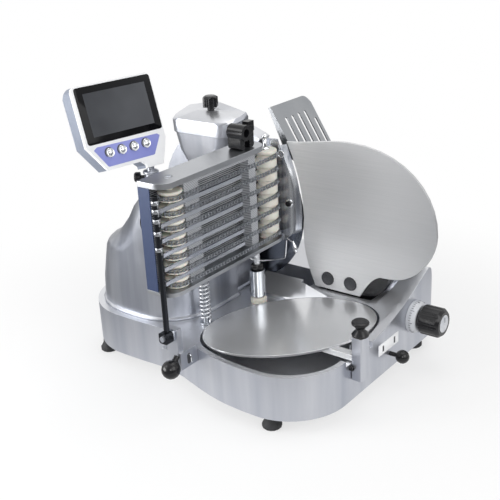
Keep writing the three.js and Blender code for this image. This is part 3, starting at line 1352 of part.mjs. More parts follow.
// Slider on the rail and the upright plate behind the trough.
function carriageArm() {
  const from = TRAY_REAR + SEAT_GAP;
  const [x, z] = TRAY_CORNER_POINT;
  const outline = polygon([
    [SLIDER_X[0], RAIL_Z + 10],
    [SLIDER_X[1], RAIL_Z + 10],
    [x + 100, z + 40],
    [x + 92, z + 74],
    [x - 10, z + 96],
    [x - 62, z + 60],
  ]);
  const plate = prism(outline, from, from + ARM_PLATE, "y");
  const slider = block(SLIDER_X, [RAIL_Y - 24, RAIL_Y + 24], [RAIL_Z - 22, RAIL_Z + 24]);
  const bore = rod(RAIL_RADIUS + RUN_GAP, SLIDER_X[0] - 5, SLIDER_X[1] + 5, "x", [0, RAIL_Y, RAIL_Z]);
  const rodHole = rod(PUSHER_ROD_RADIUS + RUN_GAP, from - 5, from + 30, "y", pusherAxis());
  return cut(join(plate, slider), bore, rodHole);
}

function pusherAxis() {
  const half = PUSHER_SIZE / 2 + 2;
  return [
    TRAY_CORNER_POINT[0] + TRAY_OUT.x * half - TRAY_DOWN.x * half, 0,
    TRAY_CORNER_POINT[1] + TRAY_OUT.y * half - TRAY_DOWN.y * half,
  ];
}

// Pusher that holds the product against the gauge plate, on a rod through the carriage's plate.
function productPusher() {
  const front = TRAY_FRONT + 10;
  const rear = front + PUSHER_THICKNESS;
  const sides = [2, 2 + PUSHER_SIZE];
  const settings = { depth: PUSHER_THICKNESS, bevelEnabled: false, curveSegments: 4 };
  const plate = new THREE.ExtrudeGeometry(roundedRectangle(sides, sides, 14), settings);
  plate.translate(0, 0, front).applyMatrix4(PRISM_FRAMES.y);
  const stop = TRAY_REAR + SEAT_GAP + ARM_PLATE + 2;
  const [x, , z] = pusherAxis();
  const handle = turned([
    [0, rear - 2],
    [PUSHER_ROD_RADIUS, rear - 2],
    [PUSHER_ROD_RADIUS, stop],
    [16, stop],
    [16, stop + 18],
    [12, stop + 22],
    [0, stop + 22],
  ], "y", [x, 0, z], SMALL_STEPS);
  return join(onTray(plate), handle);
}

function carriageRail() {
  const near = BASE_REAR + SEAT_GAP;
  const left = BASE_LEFT + REAR_RADIUS + 10;
  const right = BASE_RIGHT - REAR_RADIUS - 10;
  const blocks = [[left, left + RAIL_BLOCK], [right - RAIL_BLOCK, right]].map((x) => (
    block(x, [near, RAIL_Y + RAIL_BLOCK / 2], [RAIL_Z - RAIL_BLOCK / 2, REAR_SHOULDER_Z + 5])
  ));
  return join(rod(RAIL_RADIUS, left + 5, right - 5, "x", [0, RAIL_Y, RAIL_Z]), ...blocks);
}

// Display: drawn facing -Y about the post's axis, with Z up along its face

function displayOutline(inset) {
  const right = DISPLAY_OVERHANG - inset;
  const left = DISPLAY_OVERHANG - DISPLAY_WIDTH + inset;
  const top = DISPLAY_TOP - inset;
  const bottom = DISPLAY_BOTTOM + inset;
  const neckLeft = DISPLAY_NECK[0] + inset;
  const neckRight = DISPLAY_NECK[1] - inset;
  const outline = new THREE.Shape();
  outline.absarc(right - DISPLAY_RADIUS, top - DISPLAY_RADIUS, DISPLAY_RADIUS, 0, Math.PI / 2);
  outline.absarc(left + DISPLAY_RADIUS, top - DISPLAY_RADIUS, DISPLAY_RADIUS, Math.PI / 2, Math.PI);
  outline.lineTo(left, bottom + CHAMFER[1]);
  outline.lineTo(left + CHAMFER[0], bottom);
  outline.lineTo(neckLeft - 10, bottom);
  outline.lineTo(neckLeft, bottom - 10);
  outline.lineTo(neckLeft, DISPLAY_TAB + inset);
  outline.lineTo(neckRight, DISPLAY_TAB + inset);
  outline.lineTo(right - 10, bottom + 10);
  outline.lineTo(right, bottom + 36);
  return outline;
}

const FACE_Y = -DISPLAY_DEPTH / 2;
const BEZEL_REAR = FACE_Y + BEZEL_THICKNESS;
const SCREEN_TOP = DISPLAY_TOP - SCREEN_MARGIN.top;
const SCREEN_X = [
  DISPLAY_OVERHANG - DISPLAY_WIDTH + SCREEN_MARGIN.left, DISPLAY_OVERHANG - SCREEN_MARGIN.right,
];
const SCREEN_Z = [SCREEN_TOP - SCREEN_HEIGHT, SCREEN_TOP];

// The pivot's bore stands upright although the display leans back.
function pivotBore() {
  const radius = PIVOT_RADIUS + RUN_GAP;
  const length = 120;
  const geometry = new THREE.CylinderGeometry(radius, radius, length, SMALL_STEPS);
  geometry.translate(0, PIVOT_HEIGHT + 4 - length / 2, 0);
  return solid(geometry.rotateX(Math.PI / 2 + THREE.MathUtils.degToRad(DISPLAY_TILT)));
}

function keyCentres() {
  return Array.from({ length: KEY_COUNT }, (_, i) => [
    DISPLAY_OVERHANG - DISPLAY_WIDTH + KEY_FIRST + i * KEY_PITCH, DISPLAY_BOTTOM + KEY_RISE,
  ]);
}

function displayShell() {
  const from = BEZEL_REAR + SEAT_GAP;
  const back = DISPLAY_DEPTH / 2;
  const wall = 3;
  const body = prism(displayOutline(0), from, back, "y", 4);
  const high = DISPLAY_TOP + 5;
  const slope = polygon([[from + 12, high], [back + 5, high], [back + 5, DISPLAY_TOP - 24]]);
  const crown = prism(slope, DISPLAY_OVERHANG - DISPLAY_WIDTH - 5, DISPLAY_OVERHANG + 5, "x");
  const inside = block(
    [SCREEN_X[0] + wall, DISPLAY_NECK[0] - 6],
    [from - 5, back - wall],
    [DISPLAY_BOTTOM + CHAMFER[1] + wall, DISPLAY_TOP - 32],
  );
  return cut(body, crown, inside, pivotBore());
}

function displayBezel() {
  const frame = prism(displayOutline(0), FACE_Y, BEZEL_REAR, "y", 4);
  const recess = block(SCREEN_X, [FACE_Y - 5, FACE_Y + SCREEN_DEPTH], SCREEN_Z);
  const window = block(
    [SCREEN_X[0] + 14, SCREEN_X[1] - 14], [FACE_Y, BEZEL_REAR + 5], [SCREEN_Z[0] + 12, SCREEN_Z[1] - 12],
  );
  const keyHoles = keyCentres().map(([x, z]) => (
    rod(KEY_RADIUS + RUN_GAP, FACE_Y - 5, FACE_Y + 5, "y", [x, 0, z])
  ));
  return cut(frame, recess, window, pivotBore(), ...keyHoles);
}

function displayScreen() {
  const x = [SCREEN_X[0] + SEAT_GAP, SCREEN_X[1] - SEAT_GAP];
  const z = [SCREEN_Z[0] + SEAT_GAP, SCREEN_Z[1] - SEAT_GAP];
  return block(x, [FACE_Y + 0.4, FACE_Y + SCREEN_DEPTH - SEAT_GAP], z);
}

function displayKey([x, z]) {
  const base = FACE_Y + 5 - 3;
  return turned([
    [0, FACE_Y - KEY_PROUD],
    [KEY_RADIUS - 1.5, FACE_Y - KEY_PROUD],
    [KEY_RADIUS, FACE_Y - KEY_PROUD + 1.5],
    [KEY_RADIUS, base],
    [0, base],
  ], "y", [x, 0, z], SMALL_STEPS);
}

function displayPost() {
  const foot = TOWER_TOP_Z + SEAT_GAP;
  const top = foot + POST_HEIGHT;
  return turned([
    [0, foot],
    [POST_RADIUS + 5, foot],
    [POST_RADIUS + 5, foot + 4],
    [POST_RADIUS, foot + 4],
    [POST_RADIUS, top - 6],
    [POST_RADIUS + 3, top - 5],
    [POST_RADIUS + 3, top],
    [PIVOT_RADIUS, top],
    [PIVOT_RADIUS, top + PIVOT_HEIGHT],
    [0, top + PIVOT_HEIGHT],
  ], "z", [POST_X, POST_Y, 0], 18);
}

// A screw knob along its own +Z, which points away from the post.
function clampScrew() {
  return turned([[0, 0], [4, 0], [4, 7], [11, 9], [11, 19], [8, 22], [0, 22]], "z", [0, 0, 0], SMALL_STEPS);
}

function sharpenerKnob() {
  const from = SHARPENER_CROWN_Z + SEAT_GAP;
  const top = from + SHARPENER_KNOB_HEIGHT;
  const lobes = 6;
  const depth = 2.5;
  const centre = [SHARPENER_KNOB_X, SHARPENER_KNOB_Y, 0];
  const outline = new THREE.Shape(Array.from({ length: lobes * 4 }, (_, i) => {
    const angle = (i / (lobes * 4)) * Math.PI * 2;
    const reach = SHARPENER_KNOB_RADIUS - depth + depth * Math.cos(lobes * angle);
    return new THREE.Vector2(centre[0] + reach * Math.cos(angle), centre[1] + reach * Math.sin(angle));
  }));
  const profile = [[0, from], [40, from], [24, top - 7], [12, top], [0, top]];
  const dome = turned(profile, "z", centre, SMALL_STEPS);
  const grip = prism(outline, from + 8, top + 5).intersect(dome);
  return join(grip, rod(8, from, from + 12, "z", centre));
}

// Assembly

const machine = new THREE.Group();

function add(name, shape, material, parent = machine) {
  const mesh = piece(name, shape, material);
  parent.add(mesh);
  return mesh;
}

add("base_casting", baseCasting(), castAluminium);
add("bottom_cover", bottomCover(), brushedSteel);
const fromLeft = ([inX, inY], front) => foot(BASE_LEFT + inX, front ? BASE_FRONT + inY : BASE_REAR - inY);
const fromRight = ([inX, inY], front) => foot(BASE_RIGHT - inX, front ? BASE_FRONT + inY : BASE_REAR - inY);
add("foot_front_left", fromLeft(FRONT_LEFT_FOOT, true), blackRubber);
add("foot_front_right", fromRight(FRONT_RIGHT_FOOT, true), blackRubber);
add("foot_rear_left", fromLeft(REAR_LEFT_FOOT, false), blackRubber);
add("foot_rear_right", fromRight(REAR_RIGHT_FOOT, false), blackRubber);

add("tower_housing", towerHousing(), castAluminium);
add("tower_cap", towerCap(), blackPlastic);
add("blade", blade(), polishedSteel);
add("blade_shaft", bladeShaft(), brushedSteel);
add("blade_bearing", bladeBearing(), brushedSteel);
add("blade_motor", bladeMotor(), darkSteel);
add("motor_pulley", motorPulley(), brushedSteel);
add("drive_belt", driveBelt(), blackRubber);
add("ring_guard", ringGuard(), castAluminium);
add("slice_deflector", deflector(), polishedSteel);
add("sharpener_housing", sharpenerHousing(), castAluminium);
add("sharpener_knob", sharpenerKnob(), blackPlastic);
add("grinding_stone", sharpeningStone(), abrasive);

add("gauge_plate", gaugePlate(), brushedSteel);
add("gauge_carrier", gaugeCarrier(), blackPlastic);
add("dial_collar", dialCollar(), ivoryPlastic);
add("thickness_knob", thicknessKnob(), blackPlastic);
add("panel_ball_knob", wallBallKnob(), blackPlastic);

add("frame_top_plate", frameTopPlate(), polishedSteel);
add("frame_bottom_plate", frameBottomPlate(), polishedSteel);
add("frame_web", frameWeb(), darkSteel);
const driveTop = LAST_ROW_Z + DRUM_RING_HEIGHT / 2 + 2 * DRUM_FLANGE;
add("drive_spindle", drum(DRIVE_Y, driveTop, DRIVE_FLANGE_RADIUS), ivoryPlastic);
add("idler_spindle", drum(IDLER_Y, TOP_PLATE_Z + TOP_PLATE, DRUM_RADIUS), ivoryPlastic);
const chain = chainLoop();
for (let row = 0; row < CHAIN_ROWS; row += 1) {
  add(`chain_${row + 1}`, chain, darkSteel).position.z = FIRST_ROW_Z + row * ROW_PITCH;
}
add("rod_clamp", rodClamp(), blackPlastic);
add("coupling_collar", couplingCollar(), ivoryPlastic);
add("coupling_sleeve", couplingSleeve(), polishedSteel);
add("spring_post", springPost(), brushedSteel);
add("support_spring", supportSpring(), polishedSteel).position.set(SPRING_X, SPRING_Y, 0);

add("throw_fork", throwFork(), polishedSteel);
add("fork_bracket", forkBracket(), castAluminium);
const forkBall = add("fork_ball_knob", forkBallKnob(), blackPlastic);
const forkBallY = FORK_BAR_Y + FORK_HUB / 2 + RUN_GAP - FORK_STEM_RADIUS * Math.SQRT1_2 - SEAT_GAP;
forkBall.position.set(FORK_X + 15, forkBallY, BRACKET_Z[1] - 3);
forkBall.quaternion.setFromUnitVectors(Z_AXIS, new THREE.Vector3(0, -1, -1).normalize());

add("deposit_table", depositTable(), polishedSteel);
add("table_stand", tableStand(), castAluminium);
add("table_lock_knob", tableLockKnob(), blackPlastic);

add("product_tray", productTray(), brushedSteel);
add("carriage_arm", carriageArm(), castAluminium);
add("carriage_rail", carriageRail(), polishedSteel);
add("product_pusher", productPusher(), brushedSteel);

add("display_post", displayPost(), castAluminium);
const screw = add("display_clamp_knob", clampScrew(), blackPlastic);
const screwWay = new THREE.Vector3(-0.8, -0.6, 0);
screw.position.set(POST_X, POST_Y, TOWER_TOP_Z + SCREW_RISE);
screw.position.addScaledVector(screwWay, POST_RADIUS + SEAT_GAP);
screw.quaternion.setFromUnitVectors(Z_AXIS, screwWay);

const swivel = new THREE.Group();
swivel.position.set(POST_X, POST_Y, TOWER_TOP_Z + SEAT_GAP + POST_HEIGHT);
swivel.rotation.z = THREE.MathUtils.degToRad(DISPLAY_TURN);
const lean = new THREE.Group();
lean.rotation.x = -THREE.MathUtils.degToRad(DISPLAY_TILT);
swivel.add(lean);
machine.add(swivel);
add("display_housing", displayShell(), greyPlastic, lean);
add("display_bezel", displayBezel(), greyPlastic, lean);
add("display_screen", displayScreen(), screenGlass, lean);
keyCentres().forEach((centre, i) => add(`key_${i + 1}`, displayKey(centre), polishedSteel, lean));

// The origin lies under the middle of the whole machine, on the floor.
const bounds = new THREE.Box3().setFromObject(machine);
machine.position.set(-(bounds.min.x + bounds.max.x) / 2, -(bounds.min.y + bounds.max.y) / 2, 0);

const group = new THREE.Group();
group.add(machine);

export default group;
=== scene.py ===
"""Looks of an upright-blade food slicer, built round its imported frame. Metres, +Z up."""

import json
import math

import bmesh
import bpy
from mathutils import Matrix, Vector

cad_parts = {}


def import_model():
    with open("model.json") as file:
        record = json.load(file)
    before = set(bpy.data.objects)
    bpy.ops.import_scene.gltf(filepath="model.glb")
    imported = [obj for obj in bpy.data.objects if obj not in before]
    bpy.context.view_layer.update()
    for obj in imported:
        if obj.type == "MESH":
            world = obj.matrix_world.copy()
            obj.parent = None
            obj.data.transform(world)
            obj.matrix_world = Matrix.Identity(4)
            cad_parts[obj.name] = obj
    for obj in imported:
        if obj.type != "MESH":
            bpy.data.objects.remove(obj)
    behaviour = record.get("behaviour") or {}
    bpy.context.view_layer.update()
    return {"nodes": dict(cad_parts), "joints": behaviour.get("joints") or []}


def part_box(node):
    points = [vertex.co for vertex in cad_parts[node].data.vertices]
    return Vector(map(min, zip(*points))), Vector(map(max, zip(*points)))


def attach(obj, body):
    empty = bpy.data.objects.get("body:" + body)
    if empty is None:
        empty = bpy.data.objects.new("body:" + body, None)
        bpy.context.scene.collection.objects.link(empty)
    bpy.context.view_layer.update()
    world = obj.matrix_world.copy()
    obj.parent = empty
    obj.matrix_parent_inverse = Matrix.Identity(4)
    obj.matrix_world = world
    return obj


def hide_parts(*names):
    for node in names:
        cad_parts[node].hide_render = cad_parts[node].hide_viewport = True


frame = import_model()
NODES = frame["nodes"]
JOINTS = {joint["name"]: joint for joint in frame["joints"]}
MM = 0.001
FULL_TURN = 2 * math.pi
TO_OPERATOR = (1, 0, 0)  # out of the wall with the knobs
CHAIN_ROWS = 7
KEY_COUNT = 4


# Shader nodes

def srgb(code):
    """Linear colour of a six-digit web colour."""
    channels = [int(code[i:i + 2], 16) / 255 for i in (0, 2, 4)]
    linear = [c / 12.92 if c <= 0.04045 else ((c + 0.055) / 1.055) ** 2.4 for c in channels]
    return (*linear, 1.0)


def feed(tree, value, socket):
    """Fills an input with a number, a colour or another node's output."""
    if isinstance(value, bpy.types.NodeSocket):
        tree.links.new(value, socket)
    else:
        socket.default_value = value


def add_math(tree, operation, first, second):
    node = tree.nodes.new("ShaderNodeMath")
    node.operation = operation
    feed(tree, first, node.inputs[0])
    feed(tree, second, node.inputs[1])
    return node.outputs["Value"]


def add_measure(tree, operation, place, other=(0, 0, 0)):
    """Number that a vector node makes of a place and a fixed vector."""
    node = tree.nodes.new("ShaderNodeVectorMath")
    node.operation = operation
    tree.links.new(place, node.inputs[0])
    node.inputs[1].default_value = other
    return node.outputs["Value"]


def add_range(tree, source, old, new, interpolation="LINEAR"):
    """Carries a value from an old range to a new one, held at the ends."""
    node = tree.nodes.new("ShaderNodeMapRange")
    node.interpolation_type = interpolation
    node.inputs["From Min"].default_value, node.inputs["From Max"].default_value = old
    node.inputs["To Min"].default_value, node.inputs["To Max"].default_value = new
    tree.links.new(source, node.inputs["Value"])
    return node.outputs["Result"]


def add_split(tree, vector):
    node = tree.nodes.new("ShaderNodeSeparateXYZ")
    tree.links.new(vector, node.inputs["Vector"])
    return node.outputs


# Materials

NOISE_RANGE = (0.3, 0.7)  # where most of a noise's values lie
RELIEF = 0.0001  # depth of the finest grain, in metres
ALONG_X, ALONG_Z = (0.012, 1, 1), (1, 1, 0.012)  # stretches of a noise into fine lines


class Finish:
    """A material whose shader inputs are filled from object-space noise."""

    def __init__(self, name, colour, roughness, metallic=0.0):
        self.material = bpy.data.materials.new(name)
        self.material.use_nodes = True
        self.tree = self.material.node_tree
        self.shader = self.tree.nodes["Principled BSDF"]
        self.set(Base_Color=srgb(colour), Roughness=roughness, Metallic=metallic)
        coordinates = self.tree.nodes.new("ShaderNodeTexCoord").outputs
        self.place, self.normal = coordinates["Object"], coordinates["Normal"]
        self.axes = None

    def set(self, **values):
        for name, value in values.items():
            self.shader.inputs[name.replace("_", " ")].default_value = value
        return self

    def noise(self, scale, stretch=(1, 1, 1), detail=3.0):
        mapping = self.tree.nodes.new("ShaderNodeMapping")
        mapping.inputs["Scale"].default_value = [scale * s for s in stretch]
        texture = self.tree.nodes.new("ShaderNodeTexNoise")
        texture.inputs["Scale"].default_value = 1.0
        texture.inputs["Detail"].default_value = detail
        self.tree.links.new(self.place, mapping.inputs["Vector"])
        self.tree.links.new(mapping.outputs["Vector"], texture.inputs["Vector"])
        return texture.outputs["Fac"]

    def along(self, axis):
        """One coordinate of the place on the object, in metres."""
        if self.axes is None:
            self.axes = add_split(self.tree, self.place)
        return self.axes[axis]

    def math(self, operation, first, second):
        return add_math(self.tree, operation, first, second)

    def wave(self, axis, rate):
        """Ripples along an axis, at a rate in radians per metre."""
        return self.math("SINE", self.math("MULTIPLY", self.along(axis), rate), 0)

    def growth(self, source, start, slope, limit):
        """Share that grows from 0 at a start, by a slope, up to a limit."""
        share = self.math("MULTIPLY", self.math("SUBTRACT", source, start), slope)
        return self.math("MINIMUM", self.math("MAXIMUM", share, 0.0), limit)

    def mix(self, share, first, second):
        node = self.tree.nodes.new("ShaderNodeMix")
        node.data_type = "RGBA"
        feed(self.tree, first, node.inputs["A"])
        node.inputs["B"].default_value = second
        self.tree.links.new(share, node.inputs["Factor"])
        self.tree.links.new(node.outputs["Result"], self.shader.inputs["Base Color"])

    def vary_colour(self, source, shades):
        """Two web colours, mixed by a noise."""
        share = add_range(self.tree, source, NOISE_RANGE, (0.0, 1.0))
        self.mix(share, srgb(shades[0]), srgb(shades[1]))

    def paint(self, mask, colour):
        """Lays a plain colour over the present ones where the mask is 1."""
        self.mix(mask, self.shader.inputs["Base Color"].links[0].from_socket, srgb(colour))

    def vary_roughness(self, source, low, high):
        level = add_range(self.tree, source, NOISE_RANGE, (low, high))
        self.tree.links.new(level, self.shader.inputs["Roughness"])

    def bump(self, source, strength, depth=RELIEF):
        node = self.tree.nodes.new("ShaderNodeBump")
        node.inputs["Strength"].default_value = strength
        node.inputs["Distance"].default_value = depth
        self.tree.links.new(source, node.inputs["Height"])
        self.tree.links.new(node.outputs["Normal"], self.shader.inputs["Normal"])
        return self


# Except on the blade, a metal's roughness stays above or below 0.27: a mix looks hammered

def cast_aluminium(name, shades):
    """Polished casting with faint upright streaks, partly brushing and partly painted sheen, and a
    painted highlight where it faces up.
    """
    finish = Finish(name, shades[0], roughness=0.31, metallic=0.86)
    # Upright streaks in the colour: partly the brushing, partly a painted sheen
    finish.vary_colour(finish.noise(20, (1, 1, 0.07), detail=4), shades)
    # Painted highlight: a paler colour laid on the faces that look up
    facing_up = add_split(finish.tree, finish.normal)["Z"]
    finish.paint(finish.growth(facing_up, start=0.5, slope=2.0, limit=0.9), "e2e3e6")
    finish.vary_roughness(finish.noise(60, detail=6), 0.29, 0.34)
    finish.bump(finish.noise(1400, detail=2), strength=0.012)
    return finish.material


def brushed_steel(name, stretch):
    """Steel with fine lines that run along the axis whose stretch is small."""
    finish = Finish(name, "c0c2c4", roughness=0.3, metallic=1.0)
    lines = finish.noise(900, stretch, detail=4)
    finish.vary_colour(lines, ("b9bbbd", "c9cacb"))
    finish.vary_roughness(lines, 0.29, 0.38)
    finish.bump(lines, strength=0.1)
    return finish.material


def satin_steel(name, shades, roughness, metallic=1.0):
    """Fine blasted steel with faint wiping marks."""
    finish = Finish(name, shades[0], roughness, metallic)
    finish.vary_colour(finish.noise(9, (1, 1, 0.4), detail=4), shades)
    finish.vary_roughness(finish.noise(160, detail=5), roughness * 0.92, roughness * 1.1)
    finish.bump(finish.noise(1500, detail=2), strength=0.02)
    return finish.material


def gauge_steel():
    """Plate brushed across, with painted shade towards its far end."""
    finish = Finish("gauge_steel", "ebecec", roughness=0.42, metallic=0.42)
    lines = finish.noise(800, ALONG_X, detail=4)
    finish.vary_colour(lines, ("e6e7e8", "f0f0f1"))
    # Painted shade: a darker grey laid on along X, growing towards the far end
    finish.paint(finish.growth(finish.along("X"), start=0.02, slope=2.0, limit=0.8), "7d7f83")
    finish.vary_roughness(lines, 0.38, 0.48)
    finish.bump(lines, strength=0.05)
    return finish.material


# Planes of the conveyor's back sheet and of the fork's bar, and the ripples that lay its stripes of
# painted shade and its dots
STRIP_X = -0.0255
BLUE_END_Y = -0.2835
FORK_BAR_Y = -0.2925
GROOVE_SHADE_RATE, GROOVE_SHADE_EDGE = 1500, 0.05
DOT_RATE, DOT_EDGE = 1100, 0.35


def web_sheet():
    """Back sheet with painted shade in stripes along its grooves, pale dotted strips in front of it
    with painted shade in their holes, and a blue end.
    """
    finish = Finish("conveyor_web", "b2b5ba", roughness=0.42, metallic=0.2)
    finish.vary_colour(finish.noise(30, detail=4), ("c6c8cd", "d8dadd"))
    # Painted shade: dark stripes along the sheet's grooves
    groove_shade = finish.math("GREATER_THAN", finish.wave("Z", GROOVE_SHADE_RATE), GROOVE_SHADE_EDGE)
    finish.paint(groove_shade, "404247")
    strip = finish.math("GREATER_THAN", finish.along("X"), STRIP_X)
    finish.paint(strip, "c3c5c9")
    dots = finish.math("MULTIPLY", finish.wave("Y", DOT_RATE), finish.wave("Z", DOT_RATE))
    # Painted shade: a darker grey in the dotted strip's holes
    hole_shade = finish.math("GREATER_THAN", dots, DOT_EDGE)
    finish.paint(finish.math("MULTIPLY", hole_shade, strip), "8b8e95")
    finish.paint(finish.math("LESS_THAN", finish.along("Y"), BLUE_END_Y), "2e3d5f")
    finish.vary_roughness(finish.noise(200), 0.36, 0.5)
    return finish.material


def fork_steel():
    """Steel fingers on a darker upright bar."""
    finish = Finish("fork_steel", "cdd1da", roughness=0.24, metallic=1.0)
    finish.vary_colour(finish.noise(60, (1, 0.1, 1)), ("c3c8d3", "d8dbe1"))
    finish.paint(finish.math("LESS_THAN", finish.along("Y"), FORK_BAR_Y), "3a3c41")
    finish.vary_roughness(finish.noise(300, (1, 0.05, 1)), 0.14, 0.26)
    return finish.material


def polished_steel(name, colour, roughness):
    """Mirror-like steel with smears and very fine lines."""
    finish = Finish(name, colour, roughness, metallic=1.0)
    smears = finish.noise(24, (1, 3, 1), detail=5)
    finish.vary_roughness(smears, roughness * 0.8, roughness * 1.35)
    finish.bump(finish.noise(500, (0.05, 1, 1), detail=2), strength=0.03)
    return finish.material


def deflector_steel():
    """Bright sheet with painted reflections of the upright pieces round it, as pale and dark bands.
    """
    finish = Finish("deflector_steel", "a6aab2", roughness=0.2, metallic=0.9)
    # Painted reflection: long upright bands of a dark and a pale grey
    finish.vary_colour(finish.noise(70, (1, 1, 0.03), detail=3), ("626876", "d2d4d7"))
    finish.vary_roughness(finish.noise(30, detail=5), 0.16, 0.26)
    return finish.material


def dark_steel():
    """Oiled steel of the chains and the drive."""
    finish = Finish("dark_steel", "aaaeb4", roughness=0.34, metallic=1.0)
    finish.vary_colour(finish.noise(220), ("989ca3", "bcbfc4"))
    finish.vary_roughness(finish.noise(500), 0.29, 0.44)
    return finish.material


def screen_glass(name, shades, roughness):
    """Smooth dark glass with faint finger marks."""
    finish = Finish(name, shades[0], roughness)
    finish.vary_colour(finish.noise(5), shades)
    finish.vary_roughness(finish.noise(30, detail=6), roughness, roughness * 1.6)
    return finish.set(Specular_IOR_Level=0.16).material


def grained(name, colour, shades, roughness, patch_scale, grain, metallic=0.0):
    """Plastic, rubber or stone: two shades in soft patches, and a grain in relief."""
    scale, strength, depth = grain  # the depth in metres
    finish = Finish(name, colour, roughness, metallic)
    finish.vary_colour(finish.noise(patch_scale), shades)
    return finish.bump(finish.noise(scale), strength, depth)


def ivory_plastic():
    finish = grained("ivory_plastic", "d9d6cc", ("cdc9bd", "e0ddd4"), 0.42, 45,
                     (1200, 0.08, RELIEF))
    return finish.set(Subsurface_Weight=0.15, Subsurface_Scale=0.004).material


def black_plastic():
    finish = grained("black_plastic", "141416", ("101012", "19191c"), 0.22, 120,
                     (800, 0.05, RELIEF))
    finish.vary_roughness(finish.noise(90, detail=6), 0.16, 0.26)
    return finish.set(Specular_IOR_Level=0.4).material


CAST = cast_aluminium("cast_aluminium", ("a9adb7", "c5c7cd"))
# Tower: a darker copy of the casting, as painted shade
TOWER_SHADED_CAST = cast_aluminium("tower_aluminium_painted_shade", ("8a8e99", "b9bcc3"))
# Sharpener: a darker copy of the casting, painted shade that tones down a lamp's highlight
SHARPENER_SHADED_CAST = cast_aluminium("sharpener_aluminium_painted_shade", ("989ca6", "bcbec4"))
BRUSHED_X = brushed_steel("brushed_steel_across", ALONG_X)
BRUSHED_Z = brushed_steel("brushed_steel_upright", ALONG_Z)
GAUGE_STEEL = gauge_steel()
SATIN = satin_steel("satin_steel", ("aaadb2", "b8babe"), 0.3)
TRAY_STEEL = satin_steel("tray_steel", ("96999d", "a3a5a8"), 0.42)
WEB = web_sheet()
FORK = fork_steel()
POLISHED = polished_steel("polished_steel", "c3c6ca", 0.14)
TABLE_STEEL = satin_steel("table_steel", ("e3e4e6", "ebeced"), 0.22, 0.7)
CHROME = polished_steel("chrome", "dfe1e4", 0.07)
BLADE_STEEL = polished_steel("blade_steel", "8d929b", 0.22)
DEFLECTOR = deflector_steel()
SPRING_STEEL = satin_steel("spring_steel", ("d6d8dc", "e2e3e6"), 0.23, 0.65)
DARK = dark_steel()
IVORY = ivory_plastic()
BLACK = black_plastic()
BOLT = grained("bolt_black", "3c3d40", ("35363a", "434448"), 0.5, 300,
               (900, 0.2, 2 * RELIEF)).material
DIAL = grained("dial_plastic", "c6c8cd", ("bbbec4", "d0d2d6"), 0.4, 40,
               (1200, 0.1, RELIEF)).material
RUBBER = grained("black_rubber", "222326", ("1c1d1f", "2b2c2f"), 0.7, 70,
                 (1100, 0.25, 3 * RELIEF)).material
FRAME_PLASTIC = grained("frame_plastic", "e8e9eb", ("e3e4e7", "eeeff0"), 0.4, 12,
                        (1500, 0.15, 2 * RELIEF)).material
SHELL_PLASTIC = grained("shell_plastic", "858c9b", ("7d8494", "8d94a2"), 0.42, 12,
                        (1500, 0.15, 2 * RELIEF), 0.2).material
GLASS = screen_glass("screen_glass", ("0b0b0d", "121316"), 0.08)
LCD = screen_glass("screen_lcd", ("34363a", "57595d"), 0.14)
KEYPAD = grained("keypad_film", "8087c8", ("7a81c4", "888fce"), 0.35, 10,
                 (1600, 0.1, RELIEF)).material
STONE = grained("abrasive", "9a7b66", ("6f5646", "b59a86"), 0.9, 900,
                (1300, 0.8, 5 * RELIEF)).material


# CAD nodes

NODE_FINISH = {
    CAST: ["base_casting", "ring_guard", "fork_bracket", "table_stand", "carriage_arm",
           "display_post"],
    TOWER_SHADED_CAST: ["tower_housing"],
    SHARPENER_SHADED_CAST: ["sharpener_housing"],
    BRUSHED_X: ["bottom_cover"],
    BRUSHED_Z: ["blade_shaft", "blade_bearing", "motor_pulley", "product_pusher"],
    GAUGE_STEEL: ["gauge_plate"],
    TRAY_STEEL: ["product_tray"],
    SATIN: ["frame_top_plate", "frame_bottom_plate"],
    WEB: ["frame_web"],
    FORK: ["throw_fork"],
    POLISHED: ["coupling_sleeve", "carriage_rail"],
    TABLE_STEEL: ["deposit_table"],
    BLADE_STEEL: ["blade"],
    DEFLECTOR: ["slice_deflector"],
    CHROME: [f"key_{i + 1}" for i in range(KEY_COUNT)],
    DARK: ["blade_motor", "spring_post"],
    IVORY: ["coupling_collar"],
    DIAL: ["dial_collar"],
    BLACK: ["tower_cap", "sharpener_knob", "gauge_carrier", "thickness_knob", "panel_ball_knob",
            "rod_clamp", "fork_ball_knob", "table_lock_knob", "display_clamp_knob"],
    RUBBER: ["foot_front_left", "foot_front_right", "foot_rear_left", "foot_rear_right",
             "drive_belt"],
    FRAME_PLASTIC: ["display_bezel"],
    SHELL_PLASTIC: ["display_housing"],
    GLASS: ["display_screen"],
    STONE: ["grinding_stone"],
}

# Width of the rounding on a node's sharp edges, in metres, and the nodes that have another
EDGE = 0.0007
NODE_EDGE = {"base_casting": 0.0022, "tower_housing": 0.0015, "sharpener_housing": 0.0012,
             "deposit_table": 0.0016, "gauge_plate": 0.0012, "display_bezel": 0.0016,
             "display_housing": 0.0025, "gauge_carrier": 0.0015, "rod_clamp": 0.0015}
WELD_REACH = 1e-6
FLAT_ANGLE = math.radians(0.6)
SMOOTH_ANGLE = math.radians(38)
FLATNESS = 80  # weight of large faces in the shading


